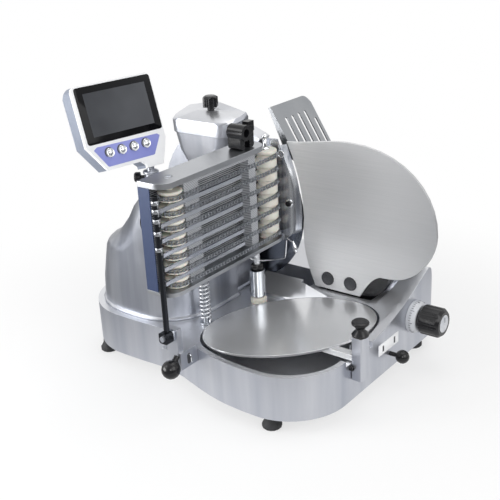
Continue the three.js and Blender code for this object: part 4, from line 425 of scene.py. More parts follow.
def dress(node, material):
    """Gives a CAD node its material, smooth curves and slightly rounded edges."""
    obj = NODES[node]
    obj.data.materials.clear()
    obj.data.materials.append(material)
    for polygon in obj.data.polygons:
        polygon.use_smooth = True
    weld = obj.modifiers.new("weld", "WELD")
    weld.merge_threshold = WELD_REACH
    flats = obj.modifiers.new("flats", "DECIMATE")
    flats.decimate_type = "DISSOLVE"
    flats.angle_limit = FLAT_ANGLE
    bevel = obj.modifiers.new("edges", "BEVEL")
    bevel.limit_method = "ANGLE"
    bevel.angle_limit = SMOOTH_ANGLE
    bevel.width = NODE_EDGE.get(node, EDGE)
    bevel.segments = 2
    normals = obj.modifiers.new("shading", "WEIGHTED_NORMAL")
    normals.mode = "FACE_AREA"
    normals.weight = FLATNESS


for node_material, node_names in NODE_FINISH.items():
    for node_name in node_names:
        dress(node_name, node_material)


# Mesh helpers: a mesh is (points, faces), drawn in the shared frame or moved there by a matrix

SPLIT_ANGLE = math.radians(40)
THIN = 1e-5  # radius that stands for a point on the axis
SUNK = 0.2 * MM  # how deep a plate sits in what carries it


def add_object(name, data):
    obj = bpy.data.objects.new(name, data)
    bpy.context.scene.collection.objects.link(obj)
    return obj


def add_piece(name, mesh_data, body, material, place=Matrix()):
    """An object from (points, faces) that rides on a body."""
    points, faces = mesh_data
    mesh = bpy.data.meshes.new(name)
    mesh.from_pydata([place @ Vector(p) for p in points], [], faces)
    shell = bmesh.new()
    shell.from_mesh(mesh)
    bmesh.ops.recalc_face_normals(shell, faces=shell.faces)
    shell.to_mesh(mesh)
    shell.free()
    for polygon in mesh.polygons:
        polygon.use_smooth = True
    mesh.materials.append(material)
    obj = add_object(name, mesh)
    split = obj.modifiers.new("sharp", "EDGE_SPLIT")
    split.split_angle = SPLIT_ANGLE
    split.use_edge_sharp = False
    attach(obj, body)
    return obj


def in_mm(points):
    """Points that are written in millimetres, in metres."""
    return [tuple(value * MM for value in point) for point in points]


def profile_mm(pairs, base=0.0):
    """A profile of (radius, height) written in millimetres above a base in metres."""
    return [(radius * MM, base + height * MM) for radius, height in pairs]


def combine(*parts):
    """Several meshes as one."""
    points, faces = [], []
    for some_points, some_faces in parts:
        first = len(points)
        points += list(some_points)
        faces += [tuple(first + i for i in face) for face in some_faces]
    return points, faces


def shift(x, y, z):
    return Matrix.Translation((x, y, z))


def moved(mesh_data, place):
    """A mesh carried by a matrix."""
    points, faces = mesh_data
    return [tuple(place @ Vector(p)) for p in points], faces


def skin(rings, closed=False):
    """Faces through rings of equal count; open ends get a cap."""
    count = len(rings[0])
    points = [tuple(p) for ring in rings for p in ring]
    faces = []
    steps = len(rings) if closed else len(rings) - 1
    for ring in range(steps):
        start, end = ring * count, ((ring + 1) % len(rings)) * count
        for i in range(count):
            k = (i + 1) % count
            faces.append((start + i, start + k, end + k, end + i))
    if not closed:
        faces.append(tuple(range(count)))
        faces.append(tuple(range((len(rings) - 1) * count, len(rings) * count)))
    return points, faces


def circle(steps):
    return [FULL_TURN * i / steps for i in range(steps)]


def polar(radius, turn):
    return radius * math.cos(turn), radius * math.sin(turn)


def lathe(profile, steps=32):
    """A profile of (radius, height) turned about Z, closed at both ends."""
    rings = []
    for radius, height in profile:
        radius = max(radius, THIN)
        rings.append([(*polar(radius, turn), height) for turn in circle(steps)])
    return skin(rings)


def at_height(outline, z):
    return [(x, y, z) for x, y in outline]


def prism(outline, low, high):
    """A plane outline of (x, y) between two heights."""
    return skin([at_height(outline, low), at_height(outline, high)])


def box(low, high):
    (x0, y0, z0), (x1, y1, z1) = low, high
    return prism([(x0, y0), (x1, y0), (x1, y1), (x0, y1)], z0, z1)


def rounded(x0, x1, y0, y1, radius, steps):
    """Outline of a rectangle with round corners."""
    corners = [(x1 - radius, y1 - radius, 0), (x0 + radius, y1 - radius, 90),
               (x0 + radius, y0 + radius, 180), (x1 - radius, y0 + radius, 270)]
    outline = []
    for x, y, start in corners:
        for i in range(steps + 1):
            across, up = polar(radius, math.radians(start + 90 * i / steps))
            outline.append((x + across, y + up))
    return outline


def plate(outline, low, high, bevel):
    """A plane outline between two heights, bevelled on its upper edge."""
    across, upward = zip(*outline)
    centre_x, centre_y = sum(across) / len(outline), sum(upward) / len(outline)
    share_x = 1 - 2 * bevel / (max(across) - min(across))
    share_y = 1 - 2 * bevel / (max(upward) - min(upward))
    inner = [(centre_x + (x - centre_x) * share_x, centre_y + (y - centre_y) * share_y)
             for x, y in outline]
    return skin([at_height(outline, low), at_height(outline, high - bevel), at_height(inner, high)])


def tube(path, radius, sides=10, closed=False):
    """A round wire along points, its rings carried on without twist."""
    points = [Vector(p) for p in path]
    count = len(points)
    steep = abs((points[1] - points[0]).normalized().x) < 0.9
    across = Vector((1, 0, 0)) if steep else Vector((0, 1, 0))
    rings = []
    for i, point in enumerate(points):
        before = points[(i - 1) % count] if closed or i else point
        after = points[(i + 1) % count] if closed or i + 1 < count else point
        along = (after - before).normalized()
        across = (across - along * across.dot(along)).normalized()
        up = along.cross(across)
        rings.append([point + (across * math.cos(t) + up * math.sin(t)) * radius
                      for t in circle(sides)])
    return skin(rings, closed)


def screw_head(radius, height, recess=0.5):
    """Profile of a round head with a chamfer and a sunk middle."""
    foot = -0.6 * MM
    edge = radius * 0.16
    sunk = height - radius * 0.3
    return [(0, foot), (radius, foot), (radius, height - edge), (radius - edge, height),
            (radius * recess, height), (radius * recess * 0.92, sunk), (0, sunk)]


def middle(node):
    low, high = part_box(node)
    return (Vector(low) + Vector(high)) / 2


def upright(node):
    """Frame on a node's upright axis, at floor height."""
    axis = middle(node)
    return shift(axis.x, axis.y, 0)


def from_axes(origin, x, y, z):
    """Frame at a point, from the directions of its axes."""
    return Matrix.Translation(origin) @ Matrix((x, y, z)).transposed().to_4x4()


def facing(origin, normal):
    """Frame at a point whose Z is the normal and whose Y leans upwards."""
    z = Vector(normal).normalized()
    x = Vector((0, 0, 1)).cross(z).normalized()
    return from_axes(origin, x, z.cross(x), z)


# Chain conveyor

LINK_PITCH = 9.6 * MM
LINK_END = 1.6 * MM  # reach of a plate past its joint
LINK_SHEET = 1.0 * MM
LINK_WIDTH, LINK_WAIST = 2.4 * MM, 1.5 * MM  # both from the middle
ROLLER = [(1.9, -2.8), (1.9, 2.8)]
PLATE_HALF = 4.2 * MM
PLATE_STEP = 1.1 * MM  # from the wide plates in to the narrow ones
SPIKE = 3.2 * MM
SPIKE_ROOT = 2.0 * MM
SPIKE_BASE = in_mm([(-1.2, -1.6), (1.2, -1.6), (1.2, 1.6), (-1.2, 1.6)])


def loop_station(distance, radius, span):
    """Point and outward direction on a loop of two straight runs, from its idler end."""
    half = math.pi * radius
    distance %= 2 * (span + half)
    if distance < span:
        return Vector((radius, distance, 0)), Vector((1, 0, 0))
    distance -= span
    if distance < half:
        way = Vector((*polar(1, distance / radius), 0))
        return Vector((0, span, 0)) + way * radius, way
    distance -= half
    if distance < span:
        return Vector((-radius, span - distance, 0)), Vector((-1, 0, 0))
    way = Vector((*polar(1, math.pi + (distance - span) / radius), 0))
    return way * radius, way


def chain_link(wide):
    """One link along Y with its outside towards X: two waisted plates, a roller and a spike."""
    half = LINK_PITCH / 2
    end = half + LINK_END
    level = PLATE_HALF if wide else PLATE_HALF - PLATE_STEP
    outline = [(-LINK_WIDTH, -end), (LINK_WIDTH, -end), (LINK_WAIST, 0),
               (LINK_WIDTH, end), (-LINK_WIDTH, end), (-LINK_WAIST, 0)]
    parts = [prism(outline, level - LINK_SHEET, level),
             prism(outline, -level, -level + LINK_SHEET),
             moved(lathe(profile_mm(ROLLER), steps=8), shift(0, -half, 0))]
    if wide:
        base = [(SPIKE_ROOT, y, z) for y, z in SPIKE_BASE]
        tip = (SPIKE_ROOT + SPIKE, 0, 0)
        faces = [(0, 1, 2, 3), (0, 1, 4), (1, 2, 4), (2, 3, 4), (3, 0, 4)]
        parts.append((base + [tip], faces))
    return combine(*parts)


def chain(row):
    """A closed chain of wide and narrow links round the two spindles."""
    node = f"chain_{row + 1}"
    idler, drive = middle("idler_spindle"), middle("drive_spindle")
    low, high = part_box(node)
    span = drive.y - idler.y
    radius = (high[0] - low[0]) / 2 - SPIKE - SPIKE_ROOT
    length = 2 * (span + math.pi * radius)
    links = 2 * round(length / LINK_PITCH / 2)
    shapes = [chain_link(True), chain_link(False)]
    parts = []
    for i in range(links):
        point, way = loop_station(length * i / links, radius, span)
        turn = Matrix.Rotation(math.atan2(way.y, way.x), 4, "Z")
        parts.append(moved(shapes[i % 2], Matrix.Translation(point) @ turn))
    place = shift(idler.x, idler.y, (low[2] + high[2]) / 2)
    obj = add_piece(f"roller_chain_{row + 1}", combine(*parts), "base", DARK, place)
    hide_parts(node)


WHEEL_SHAFT = 6.8 * MM
WHEEL_SEAT = 19.4 * MM  # radius of the groove that a chain runs in
CHAIN_ROOM = 4.9 * MM  # from a chain's middle to the ring beside it
DRIVE_GAP = 0.4 * MM  # more room, on the drive side
DRIVE_FOOT, DRIVE_RING, DRIVE_CAP = 22 * MM, 24.6 * MM, 25.8 * MM  # radii
DRIVE_CAP_HEIGHT = 9.5 * MM
DRIVE_CAP_DISH = [(10, 9.5), (10, 8.5), (0, 8.5)]
NUT_SIDES = 6
DRIVE_NUT_SEAT = 8.3 * MM
DRIVE_NUT = [(0, 0), (9.2, 0), (9.2, 3.5), (8.2, 4.6), (5, 4.6), (5, 6), (0, 6)]
DRIVE_PIN = [(0, 5), (4.6, 5), (4.6, 22), (3, 24)]
DRIVE_BALL, DRIVE_BALL_RISE = 6.6 * MM, 29 * MM
DRIVE_BALL_STEPS = 9
DRIVE_BALL_FROM, DRIVE_BALL_SWEEP = -60, 150  # in degrees
IDLER_RING = 25.2 * MM
IDLER_TEETH = 16
TOOTH_ROOT, TOOTH_TIP, TOOTH_HALF, TOOTH_RISE = 19.0 * MM, 20.9 * MM, 1.4 * MM, 2.6 * MM
IDLER_NUT = [(0, -1), (7.4, -1), (7.4, 1.6), (6.6, 2.3), (3.6, 2.3), (3.6, 1.2), (0, 1.2)]
RING_FOOT, RING_TOP = 8 * MM, 12 * MM  # ends of a wheel below and above its chain's middle
RING_ROUND = 4 * MM


def row_heights():
    return [middle(f"chain_{row + 1}").z for row in range(CHAIN_ROWS)]


def barrel(low, high, radius):
    """Profile of one smooth ring between two levels, from the seat's radius and back to it."""
    turn = min((high - low) / 2, RING_ROUND)
    angles = [math.radians(a) for a in (90, 60, 30, 0)]
    lower = [(radius - turn * (1 - math.cos(a)), low + turn * (1 - math.sin(a))) for a in angles]
    upper = [(r, low + high - z) for r, z in reversed(lower)]
    return [(WHEEL_SEAT, low)] + lower + upper + [(WHEEL_SEAT, high)]


def drive_wheels():
    """Smooth ivory rings between the chains, with a flanged cap and a steel end."""
    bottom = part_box("drive_spindle")[0][2]
    rows = row_heights()
    foot = rows[0] - RING_FOOT
    profile = [(0, bottom), (WHEEL_SHAFT, bottom), (WHEEL_SHAFT, foot)]
    profile += barrel(foot, rows[0] - CHAIN_ROOM, DRIVE_FOOT)
    for below, above in zip(rows, rows[1:]):
        profile += barrel(below + CHAIN_ROOM + DRIVE_GAP, above - CHAIN_ROOM - DRIVE_GAP,
                          DRIVE_RING)
    cap = rows[-1] + CHAIN_ROOM
    profile += barrel(cap, cap + DRIVE_CAP_HEIGHT, DRIVE_CAP)
    profile += profile_mm(DRIVE_CAP_DISH, cap)
    place = upright("drive_spindle")
    obj = add_piece("drive_wheels", lathe(profile, steps=44), "drive_spindle", IVORY,
                    place)
    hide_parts("drive_spindle")
    top = cap + DRIVE_NUT_SEAT
    pin = profile_mm(DRIVE_PIN, top)
    for i in range(1, DRIVE_BALL_STEPS + 1):
        turn = math.radians(DRIVE_BALL_FROM + DRIVE_BALL_SWEEP * i / DRIVE_BALL_STEPS)
        out, up = polar(DRIVE_BALL, turn)
        pin.append((out, top + DRIVE_BALL_RISE + up))
    nut = lathe(profile_mm(DRIVE_NUT, top), NUT_SIDES)
    add_piece("drive_nut", combine(nut, lathe(pin, steps=24)), "drive_spindle", CHROME,
              place)


def idler_wheels():
    """Ivory rings with a row of small teeth in the chain's groove."""
    low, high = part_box("idler_spindle")
    profile = [(0, low[2]), (WHEEL_SHAFT, low[2])]
    parts = []
    for z in row_heights():
        profile += [(WHEEL_SHAFT, z - RING_FOOT)]
        profile += barrel(z - RING_FOOT, z - CHAIN_ROOM, IDLER_RING)
        profile += barrel(z + CHAIN_ROOM, z + RING_TOP, IDLER_RING)
        profile += [(WHEEL_SHAFT, z + RING_TOP)]
        tooth = box((TOOTH_ROOT, -TOOTH_HALF, z - TOOTH_RISE),
                    (TOOTH_TIP, TOOTH_HALF, z + TOOTH_RISE))
        for turn in circle(IDLER_TEETH):
            parts.append(moved(tooth, Matrix.Rotation(turn, 4, "Z")))
    profile += [(WHEEL_SHAFT, high[2]), (0, high[2])]
    place = upright("idler_spindle")
    wheels = combine(lathe(profile, steps=40), *parts)
    obj = add_piece("idler_wheels", wheels, "idler_spindle", IVORY, place)
    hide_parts("idler_spindle")
    add_piece("idler_nut", lathe(profile_mm(IDLER_NUT, high[2]), NUT_SIDES), "idler_spindle", DARK,
              place)


# Coil spring under the conveyor

SPRING_CURLS = 12
SPRING_STEPS = 28  # in each curl
SPRING_WIRE = 1.7 * MM
SPRING_LEAD = 3.4 * MM  # upright at both ends
SPRING_BEND = 2.4 * MM  # from the upright end to the coil


def coil_spring():
    """One unbroken wire round the spring's post."""
    low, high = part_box("support_spring")
    radius = (high[1] - low[1]) / 2 - SPRING_WIRE
    bottom, top = low[2], high[2]
    start, end = bottom + SPRING_LEAD + SPRING_BEND, top - SPRING_LEAD - SPRING_BEND
    path = [(radius, 0, bottom), (radius, 0, bottom + SPRING_LEAD)]
    steps = SPRING_CURLS * SPRING_STEPS
    for i in range(1, steps):
        turn = FULL_TURN * SPRING_CURLS * i / steps
        path.append((*polar(radius, turn), start + (end - start) * i / steps))
    path += [(radius, 0, top - SPRING_LEAD), (radius, 0, top)]
    obj = add_piece("coil_spring", tube(path, SPRING_WIRE), "base", SPRING_STEEL,
                    upright("spring_post"))
    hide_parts("support_spring")


# Display

# Corners of the keypad's film: the key they are measured from, and millimetres across and up
FILM = [(0, -34.5, 11.5), (0, -11, -26), (0, -9, -27), (-1, 12.5, -27), (-1, 14.5, -26),
        (-1, 38, 9.5), (-1, 32, 14), (0, -26, 16.5)]
FILM_RISE = 0.4 * MM
KEY_DOME = [(0, -0.4), (9.6, -0.4), (9.6, 0.1), (8.9, 0.9), (7.6, 0.9), (6.8, 0.3), (6.2, 0.4),
            (5.4, 1.6), (3.6, 2.6), (1.6, 3.1), (0, 3.2)]
# Crescents of painted shade beside the keys: dark, and thickest on one side
SHADE_CRESCENT_INSIDE = 10.2 * MM
SHADE_CRESCENT_REACH, SHADE_CRESCENT_BULGE = 10.7, 1.5  # of its outside, in millimetres
SHADE_CRESCENT_HEIGHT = 0.9 * MM
SHADE_CRESCENT_STEPS = 24
SHADE_CRESCENT_HALF = 80  # of its arc, in degrees
SHADE_CRESCENT_WAY = math.radians(138)  # the way in which a crescent of painted shade is thickest


def display_place():
    """Frame of the display's face: X along its width, Y up it, Z out of it, at the first key."""
    first, last = middle("key_1"), middle(f"key_{KEY_COUNT}")
    out = -Vector(JOINTS["key_1_press"]["axis"])
    x = (last - first).normalized()
    y = out.cross(x).normalized()
    return from_axes(first, x, y, x.cross(y))


def node_points(node, into):
    """A CAD node's points in another frame."""
    obj = NODES[node]
    return [into @ (obj.matrix_world @ vertex.co) for vertex in obj.data.vertices]


def key_shade_crescent():
    """A dark crescent of painted shade beside a key, thickest in its middle."""
    inner, outer = [], []
    for step in range(SHADE_CRESCENT_STEPS + 1):
        off = math.radians(-SHADE_CRESCENT_HALF + 2 * SHADE_CRESCENT_HALF * step / SHADE_CRESCENT_STEPS)
        turn = off + SHADE_CRESCENT_WAY
        reach = (SHADE_CRESCENT_REACH + SHADE_CRESCENT_BULGE * math.cos(off)) * MM
        inner.append(polar(SHADE_CRESCENT_INSIDE, turn))
        outer.insert(0, polar(reach, turn))
    return prism(inner + outer, 0, SHADE_CRESCENT_HEIGHT)


def display_details():
    """The screen's cover and panel, the keypad's film, caps on the keys, and crescents of painted
    shade beside them.
    """
    place = display_place()
    into = place.inverted()
    screen = node_points("display_screen", into)
    x0, x1 = min(p.x for p in screen), max(p.x for p in screen)
    y0, y1 = min(p.y for p in screen), max(p.y for p in screen)
    face = max(p.z for p in screen)
    glass = rounded(x0 - 4.5 * MM, x1 + 1.5 * MM, y0 - 2 * MM, y1 + 2.5 * MM,
                    radius=6 * MM, steps=6)
    cover = plate(glass, face - SUNK, face + 0.9 * MM, bevel=0.4 * MM)
    add_piece("screen_cover", cover, "display", GLASS, place)
    lcd = rounded(x0 + 13 * MM, x1 - 15 * MM, y0 + 12 * MM, y1 - 11.5 * MM,
                  radius=0.6 * MM, steps=2)
    panel = prism(lcd, face + 0.5 * MM, face + 1.0 * MM)
    add_piece("screen_panel", panel, "display", LCD, place)
    keys = [into @ middle(f"key_{i + 1}") for i in range(KEY_COUNT)]
    film_z = face + FILM_RISE
    shade_crescents = []
    for i, key in enumerate(keys):
        body = f"key_{i + 1}"
        shade_crescents.append(moved(key_shade_crescent(), shift(key.x, key.y, film_z)))
        top = max(p.z for p in node_points(body, into))
        cap = moved(lathe(profile_mm(KEY_DOME)), shift(key.x, key.y, top))
        add_piece(f"key_cap_{i + 1}", cap, body, CHROME, place)
    # Painted shade: the dark crescents beside the keys
    add_piece("key_shade_crescents", combine(*shade_crescents), "display", BOLT, place)
    outline = [(keys[key].x + x * MM, y * MM) for key, x, y in FILM]
    film = plate(outline, film_z - SUNK, film_z + 0.35 * MM, bevel=0.2 * MM)
    add_piece("keypad_film", film, "display", KEYPAD, place)


# Label plate

LABEL_WIDTH, LABEL_HEIGHT = 42 * MM, 13 * MM  # both from the middle
LABEL_THICK = 1.0 * MM
LABEL_ASIDE, LABEL_RISE = 6 * MM, 25 * MM  # from the ball knob's middle
LABEL_BARS = [(-24, 13), (24, 15)]  # place across and height
BAR_WIDTH = 3 * MM  # from the middle


def label_place(lift):
    """Frame on the operator's wall over the ball knob, lifted off the wall."""
    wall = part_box("base_casting")[1][0]
    ball = middle("panel_ball_knob")
    return facing((wall + lift, ball.y - LABEL_ASIDE, ball.z + LABEL_RISE), TO_OPERATOR)


def label_plate():
    """A pale bare plate on the operator's wall, with two plain dark bars."""
    outline = rounded(-LABEL_WIDTH, LABEL_WIDTH, -LABEL_HEIGHT, LABEL_HEIGHT, radius=2 * MM,
                      steps=4)
    add_piece("label_plate", plate(outline, -SUNK, LABEL_THICK, bevel=0.4 * MM), "base",
              FRAME_PLASTIC, label_place(0))
    bars = []
    for x, tall in in_mm(LABEL_BARS):
        bar = rounded(x - BAR_WIDTH, x + BAR_WIDTH, -tall / 2, tall / 2, radius=1 * MM, steps=3)
        bars.append(plate(bar, -SUNK, 0.3 * MM, bevel=0.15 * MM))
    add_piece("label_bars", combine(*bars), "base", BOLT,
              label_place(LABEL_THICK))


# Deflector

# The lip at some heights: where it starts and ends across, all in millimetres
LIP_LEVELS = [(262, 16, 30), (268, 19, 37), (276, 21, 39.5), (290, 22, 40.5), (305, 22, 41.3),
              (320, 22, 41), (335, 22, 39.8), (350, 22, 38), (365, 21.5, 35.7), (380, 18.5, 32.8),
              (395, 15, 29.2), (410, 11, 25), (425, 7, 20), (440, 3, 14.5), (455, -1, 9),
              (470, -5, 4)]
LIP_BACK = 133.4  # just clear of the blade
LIP_FRONT, LIP_SLOPE, LIP_SLOPE_FROM = 117.6, 0.3, 13
LIP_SHEET = 1
LIP_CURVE = 1.3
# Share of the way across, and how far the fold lifts there
LIP_FOLD = [(0, 0), (0.3, 0.6), (0.38, 2.2), (0.46, 2.8), (0.54, 2.2), (0.62, 0.6), (1, 0)]
WASHER = [(0, -1), (9.4, -1), (9.4, 0.9), (8.4, 1.7), (0, 1.7)]
WASHER_TOP = 1.7 * MM
SCREW_WAY, LOOP_WAY = (0.31, -0.95, 0), (0.18, -0.98, 0)  # square to the sheet
LOOP_RADIUS, LOOP_WIRE = 7.4 * MM, 1.6 * MM  # a ring of wire
CATCH_DROP = [(0, -17), (2.2, -16.4), (4.2, -13), (5.4, -7), (5.2, 0), (3.6, 6), (2.4, 10),
              (2.2, 13), (0, 13.6)]


def deflector_lip():
    """A folded strip that carries the deflector's sheet on to the gauge plate's edge."""
    rings = []
    for z, start, end in LIP_LEVELS:
        near = LIP_FRONT + LIP_SLOPE * (start - LIP_SLOPE_FROM)
        front, back = [], []
        for share, lift in LIP_FOLD:
            x = start + (end - start) * share
            y = near + (LIP_BACK - LIP_SHEET - near) * share ** LIP_CURVE
            front.append((x, y - lift, z))
            back.insert(0, (x, y + LIP_SHEET, z))
        rings.append(in_mm(front + back))
    return skin(rings)


def deflector_fittings():
    """The deflector's lip, screw with washer, ring, wire and catch."""
    low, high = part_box("slice_deflector")
    face = facing((high[0] - 8.8 * MM, high[1] - 5.9 * MM, low[2] + 98 * MM), SCREW_WAY)
    add_piece("deflector_washer", lathe(profile_mm(WASHER)), "base", CHROME, face)
    head = lathe(screw_head(radius=6.6 * MM, height=6 * MM, recess=0.55), steps=28)
    head = moved(head, shift(0, 0, WASHER_TOP))
    add_piece("deflector_screw", head, "base", BLACK, face)
    add_piece("deflector_lip", deflector_lip(), "base", DEFLECTOR)
    ring = [(*polar(LOOP_RADIUS, turn), LOOP_WIRE) for turn in circle(28)]
    place = facing((high[0] - 23.4 * MM, high[1] - 9.7 * MM, high[2] - 33.6 * MM), LOOP_WAY)
    add_piece("deflector_ring", tube(ring, LOOP_WIRE, closed=True), "base", CHROME,
              place)
    plate_low, plate_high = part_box("frame_bottom_plate")
    edge = plate_high[0] - 1 * MM
    wire = [(plate_high[0] - 2 * MM, -0.034, plate_low[2] + 1 * MM), (edge, -0.030, 0.2525),
            (edge, 0.005, 0.2365), (0.0085, 0.080, 0.2105), (0.0045, 0.1085, 0.2020),
            (0.0043, 0.1118, 0.2030), (0.0048, 0.1125, 0.2070), (0.0080, 0.1145, low[2] + 8 * MM)]
    add_piece("deflector_wire", tube(wire, radius=1.5 * MM), "base", CHROME)
    arm = [(0.010, 0.1155, low[2] + 12 * MM), (0.018, 0.1150, low[2] + 9 * MM),
           (0.029, 0.1135, low[2] + 4 * MM)]
    lean = shift(0.0305, 0.1130, low[2] - 2 * MM) @ Matrix.Rotation(math.radians(-18), 4, "Y")
    drop = moved(lathe(profile_mm(CATCH_DROP), steps=24), lean)
    add_piece("deflector_catch", combine(tube(arm, radius=2.2 * MM), drop), "base", CHROME)


# Coupling, from its collar's top upwards

COUPLING_SHELL = [(13.4, 3), (16.6, 3), (17.6, 4), (17.6, 65), (16.6, 66), (10.6, 66)]
KNURL_FOOT, KNURL_TOP = 66.4 * MM, 79.4 * MM
KNURL_TIP, KNURL_ROOT = 13.6 * MM, 12.6 * MM  # radii
KNURL_LOW_EDGE, KNURL_HIGH_EDGE = 1.2 * MM, 1.6 * MM  # chamfers
KNURL_RIBS = 26
NECK_RIDGES = 9
NECK_FOOT, NECK_PITCH = 79, 4
NECK_RIDGE = [(6.4, 0), (7.4, 0.8), (7.4, 2.4), (6.4, 3.2)]
NECK_BORE, NECK_TOP = 4.8, 114.2


def coupling_fittings():
    """A bright shell on the coupling, a knurled black ring above it and a ridged neck."""
    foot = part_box("coupling_collar")[1][2]
    place = upright("coupling_sleeve")
    add_piece("coupling_shell", lathe(profile_mm(COUPLING_SHELL, foot), steps=48), "coupling",
              POLISHED, place)
    neck = profile_mm([(NECK_BORE, NECK_FOOT)], foot)
    for i in range(NECK_RIDGES):
        neck += profile_mm(NECK_RIDGE, foot + (NECK_FOOT + NECK_PITCH * i) * MM)
    neck += profile_mm([(NECK_BORE, NECK_TOP)], foot)
    add_piece("coupling_neck", lathe(neck), "coupling", SPRING_STEEL, place)
    low, high = foot + KNURL_FOOT, foot + KNURL_TOP
    rings = []
    for level, shrink in ((low, KNURL_LOW_EDGE), (low + KNURL_LOW_EDGE, 0),
                          (high - KNURL_HIGH_EDGE, 0), (high, KNURL_HIGH_EDGE)):
        ring = []
        for i in range(2 * KNURL_RIBS):
            reach = (KNURL_TIP if i % 2 else KNURL_ROOT) - shrink
            ring.append((*polar(reach, math.pi * i / KNURL_RIBS), level))
        rings.append(ring)
    add_piece("coupling_knurl", skin(rings), "coupling", BLACK, place)


# Gauge plate and thickness knob

BOLT_CAP = [(0, -0.3), (15.7, -0.3), (15.7, 0.3), (15.0, 0.8), (13.0, 0.8), (12.4, 0.4), (0, 0.4)]
BOLT_PLACES = (0.10405, 0.16405)  # from the plate's near edge
BOLT_RISE = 25.5 * MM
KNOB_CAP = [(0, -0.8), (19.5, -0.8), (19.5, 0.2), (18.2, 1.0), (9, 1.7), (0, 1.9)]
DIAL_LINES = 40
DIAL_LONG_EVERY = 5
DIAL_LONG, DIAL_SHORT = 9 * MM, 5 * MM
DIAL_START = -3 * MM
DIAL_LINE_HALF = 0.45 * MM


def gauge_bolt_caps():
    """Dished dark caps on the gauge plate's bolts."""
    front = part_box("gauge_carrier")[0][1]
    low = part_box("gauge_plate")[0]
    for i, x in enumerate(BOLT_PLACES):
        place = facing((low[0] + x, front, low[2] + BOLT_RISE), (0, -1, 0))
        add_piece(f"gauge_bolt_cap_{i + 1}", lathe(profile_mm(BOLT_CAP), steps=40), "gauge", BOLT,
                  place)


def knob_fittings():
    """Pale end cap with a dark bar on the thickness knob, and lines round the dial."""
    axis = middle("thickness_knob")
    place = facing((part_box("thickness_knob")[1][0], axis.y, axis.z), TO_OPERATOR)
    add_piece("knob_cap", lathe(profile_mm(KNOB_CAP), steps=40), "thickness_knob", DIAL,
              place)
    bar = rounded(-1.2 * MM, 1.2 * MM, 3 * MM, 15 * MM, radius=1.1 * MM, steps=3)
    add_piece("knob_bar", plate(bar, 0.6 * MM, 2.0 * MM, bevel=0.2 * MM), "thickness_knob", BOLT,
              place)
    low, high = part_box("dial_collar")
    radius = (high[2] - low[2]) / 2
    lines = []
    for i, turn in enumerate(circle(DIAL_LINES)):
        end = DIAL_START + (DIAL_SHORT if i % DIAL_LONG_EVERY else DIAL_LONG)
        line = box((DIAL_START, -DIAL_LINE_HALF, radius - 0.7 * MM),
                   (end, DIAL_LINE_HALF, radius + 0.05 * MM))
        lines.append(moved(line, Matrix.Rotation(turn, 4, "X")))
    add_piece("dial_lines", combine(*lines), "base", BOLT,
              Matrix.Translation(middle("dial_collar")))


# Table's stand and fork

BRACKET_HOOK = [(0, 9, 0), (0, 9, 4), (0, 6, 6), (0, -3, 6), (2, -7, 5.6), (5.5, -7.5, 5)]
CLIP_RING = [(5.6, -4), (7.4, -4), (7.9, -3.2), (7.9, 3.2), (7.4, 4), (5.6, 4)]
CLIP_HEIGHTS = (0.462, 0.445, 0.425, 0.400, 0.367)


def wall_fittings():
    """A black screw on the table's stand, and on the fork's bracket a hook and a dark plate of
    painted shade for its slot.
    """
    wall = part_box("base_casting")[1][0]
    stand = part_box("table_stand")[0]
    place = facing((wall + 0.9 * MM, stand[1] - 3 * MM, stand[2] + 27.8 * MM), TO_OPERATOR)
    head = lathe(screw_head(radius=5.2 * MM, height=7 * MM), steps=24)
    add_piece("stop_screw", head, "table", BLACK, place)
    low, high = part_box("fork_bracket")
    place = facing((high[0], low[1] + 53 * MM, low[2] + 18 * MM), TO_OPERATOR)
    # Painted shade: a thin dark plate where the bracket's slot is
    slot = rounded(-5 * MM, 5 * MM, -12 * MM, 12 * MM, radius=4.8 * MM, steps=6)
    add_piece("bracket_slot_shade", plate(slot, -0.3 * MM, 0.35 * MM, bevel=0.2 * MM), "base", BOLT,
              place)
    add_piece("bracket_hook", tube(in_mm(BRACKET_HOOK), radius=1.5 * MM), "base", CHROME,
              place)


def fork_clips():
    """Spring clips that hold the upper fingers on the fork's bar."""
    low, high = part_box("throw_fork")
    x, y = (low[0] + high[0]) / 2 + 0.1 * MM, low[1] + 12 * MM
    parts = []
    for z in CLIP_HEIGHTS:
        parts.append(moved(lathe(profile_mm(CLIP_RING), steps=24), shift(x, y, z)))
        side = y - 3 * MM
        tab = [(x + 7 * MM, side, z + 2 * MM), (x + 9.6 * MM, side, z - 3 * MM),
               (x + 9.2 * MM, side, z - 9 * MM)]
        parts.append(tube(tab, radius=1.2 * MM, sides=8))
    add_piece("fork_clips", combine(*parts), "fork", SATIN)


for chain_row in range(CHAIN_ROWS):
    chain(chain_row)
drive_wheels()
idler_wheels()
coil_spring()
display_details()
label_plate()
deflector_fittings()
coupling_fittings()
gauge_bolt_caps()
knob_fittings()
wall_fittings()
fork_clips()


# Camera

CAMERA_PLACE = Vector((1.14301, -1.44954, 1.00633))
CAMERA_SIDE = math.radians(38.5)
CAMERA_RISE = math.radians(22.0)
CAMERA_ROLL = math.radians(3.0)
CAMERA_LENS, CAMERA_SENSOR = 64.8, 36  # in millimetres
CAMERA_REACH = 50


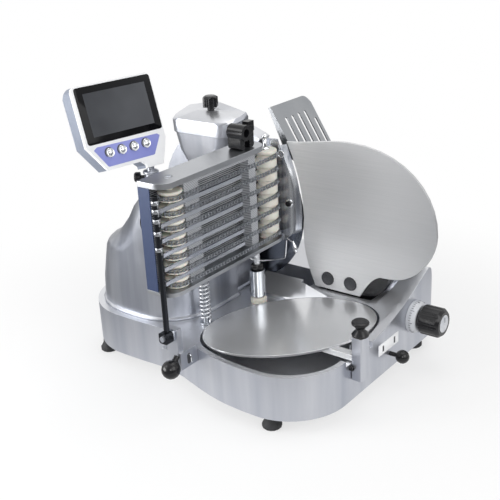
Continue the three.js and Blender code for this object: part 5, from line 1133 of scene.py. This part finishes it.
def camera():
    """The pinhole camera that was fitted to the photograph."""
    back = Vector((math.sin(CAMERA_SIDE) * math.cos(CAMERA_RISE),
                   -math.cos(CAMERA_SIDE) * math.cos(CAMERA_RISE), math.sin(CAMERA_RISE)))
    level = Vector((math.cos(CAMERA_SIDE), math.sin(CAMERA_SIDE), 0))
    rise = back.cross(level)
    right = level * math.cos(CAMERA_ROLL) - rise * math.sin(CAMERA_ROLL)
    up = level * math.sin(CAMERA_ROLL) + rise * math.cos(CAMERA_ROLL)
    data = bpy.data.cameras.new("camera")
    data.lens = CAMERA_LENS
    data.sensor_width = CAMERA_SENSOR
    data.clip_end = CAMERA_REACH
    obj = add_object("camera", data)
    obj.matrix_world = from_axes(CAMERA_PLACE, right, up, back)
    bpy.context.scene.camera = obj


# Floor and light

WHITE = (1, 1, 1, 1)
AMBIENT = 0.5
# The room behind the photographer and its ceiling are darker than the white backdrop
ROOM_WAY = (0.66, -0.74, 0.1)
ROOM_SPREAD = (0.35, 0.95)
ROOM_LEVEL = 0.3
CEILING_SPREAD = (0.45, 0.9)
CEILING_LEVEL = 0.85

FLOOR_REACH = 12
FLOOR_COLOUR = (0.85, 0.85, 0.85, 1)
FLOOR_SHARE = 0.6  # of plain white near the object, where the shadow shows
FLOOR_WHITENS = (0.45, 1.1)  # from the object to the white round it
# What metal shows of the floor fades away from its brightest place
FLOOR_MIRRORED = 0.74
FLOOR_BRIGHT = (0.2, 0.12, 0.0)
FLOOR_FADE = (0.4, 0.95)
FLOOR_DARK = 0.1

# Soft boxes: place, aim and size in metres, and power in watts
LAMPS = {
    "key": ((-1.0, -1.35, 0.42), (0.1, 0.1, 0.35), (1.1, 0.6), 17),
    "front": ((1.6, -2.1, 1.3), (0, 0, 0.2), (1.0, 1.0), 12),
    "left": ((-1.7, -1.8, 2.2), (0, 0, 0.25), (1.2, 1.2), 12),
    "fill": ((2.4, -0.6, 1.6), (0, 0, 0.25), (1.8, 1.8), 26),
    "top": ((0.2, 0.6, 2.8), (0, 0, 0.2), (2.0, 2.0), 18),
}


def light_path(tree):
    """Outputs that are 1 for camera rays, and for rays that metal or glass sends on."""
    path = tree.nodes.new("ShaderNodeLightPath").outputs
    sent_on = add_math(tree, "MAXIMUM", path["Is Glossy Ray"], path["Is Transmission Ray"])
    return path["Is Camera Ray"], sent_on


def mix_shaders(tree, share, first, second):
    node = tree.nodes.new("ShaderNodeMixShader")
    for source, socket in zip((share, first, second), node.inputs):
        tree.links.new(source, socket)
    return node.outputs[0]


def world():
    """White for the camera, a room with a darker side for metal, and a plain light."""
    data = bpy.data.worlds.new("studio")
    bpy.context.scene.world = data
    data.use_nodes = True
    tree = data.node_tree
    way = tree.nodes.new("ShaderNodeTexCoord").outputs["Generated"]
    turn = add_measure(tree, "DOT_PRODUCT", way, Vector(ROOM_WAY).normalized())
    front = add_range(tree, turn, ROOM_SPREAD, (1.0, ROOM_LEVEL), "SMOOTHSTEP")
    rise = add_split(tree, way)["Z"]
    overhead = add_range(tree, rise, CEILING_SPREAD, (1.0, CEILING_LEVEL), "SMOOTHSTEP")
    shades = []
    for strength in (AMBIENT, add_math(tree, "MULTIPLY", front, overhead), 1.0):
        shade = tree.nodes.new("ShaderNodeBackground")
        shade.inputs["Color"].default_value = WHITE
        feed(tree, strength, shade.inputs["Strength"])
        shades.append(shade.outputs[0])
    ambient, room, backdrop = shades
    camera_ray, sent_on = light_path(tree)
    mixed = mix_shaders(tree, sent_on, ambient, room)
    mixed = mix_shaders(tree, camera_ray, mixed, backdrop)
    tree.links.new(mixed, tree.nodes["World Output"].inputs["Surface"])


def floor():
    """A pale floor that keeps the shadow and goes over into the white backdrop."""
    mesh = bpy.data.meshes.new("floor")
    corners = [(-FLOOR_REACH, -FLOOR_REACH, 0), (FLOOR_REACH, -FLOOR_REACH, 0),
               (FLOOR_REACH, FLOOR_REACH, 0), (-FLOOR_REACH, FLOOR_REACH, 0)]
    mesh.from_pydata(corners, [], [(0, 1, 2, 3)])
    obj = add_object("floor", mesh)
    material = bpy.data.materials.new("floor")
    material.use_nodes = True
    tree = material.node_tree
    shader = tree.nodes["Principled BSDF"]
    shader.inputs["Base Color"].default_value = FLOOR_COLOUR
    shader.inputs["Roughness"].default_value = 0.9
    shader.inputs["Specular IOR Level"].default_value = 0.0
    glow = tree.nodes.new("ShaderNodeEmission")
    place = tree.nodes.new("ShaderNodeTexCoord").outputs["Object"]
    camera_ray, sent_on = light_path(tree)
    away = add_measure(tree, "LENGTH", place)
    white = add_range(tree, away, FLOOR_WHITENS, (FLOOR_SHARE, 1.0), "SMOOTHSTEP")
    far = add_measure(tree, "DISTANCE", place, FLOOR_BRIGHT)
    fade = add_range(tree, far, FLOOR_FADE, (1.0, FLOOR_DARK), "SMOOTHSTEP")
    tree.links.new(add_math(tree, "MAXIMUM", fade, camera_ray), glow.inputs["Strength"])
    seen = add_math(tree, "MULTIPLY", camera_ray, white)
    mirrored = add_math(tree, "MULTIPLY", sent_on, FLOOR_MIRRORED)
    share = add_math(tree, "MAXIMUM", seen, mirrored)
    mixed = mix_shaders(tree, share, shader.outputs[0], glow.outputs[0])
    tree.links.new(mixed, tree.nodes["Material Output"].inputs["Surface"])
    mesh.materials.append(material)


def softbox(name, place, aim, size, power):
    data = bpy.data.lights.new(name, "AREA")
    data.shape = "RECTANGLE"
    data.size, data.size_y = size
    data.energy = power
    obj = add_object(name, data)
    turn = (Vector(aim) - Vector(place)).to_track_quat("-Z", "Y")
    obj.matrix_world = Matrix.Translation(place) @ turn.to_matrix().to_4x4()
    obj.visible_camera = False


camera()
world()
floor()
for lamp_name, lamp in LAMPS.items():
    softbox(lamp_name, *lamp)
bpy.context.scene.view_settings.view_transform = "Standard"
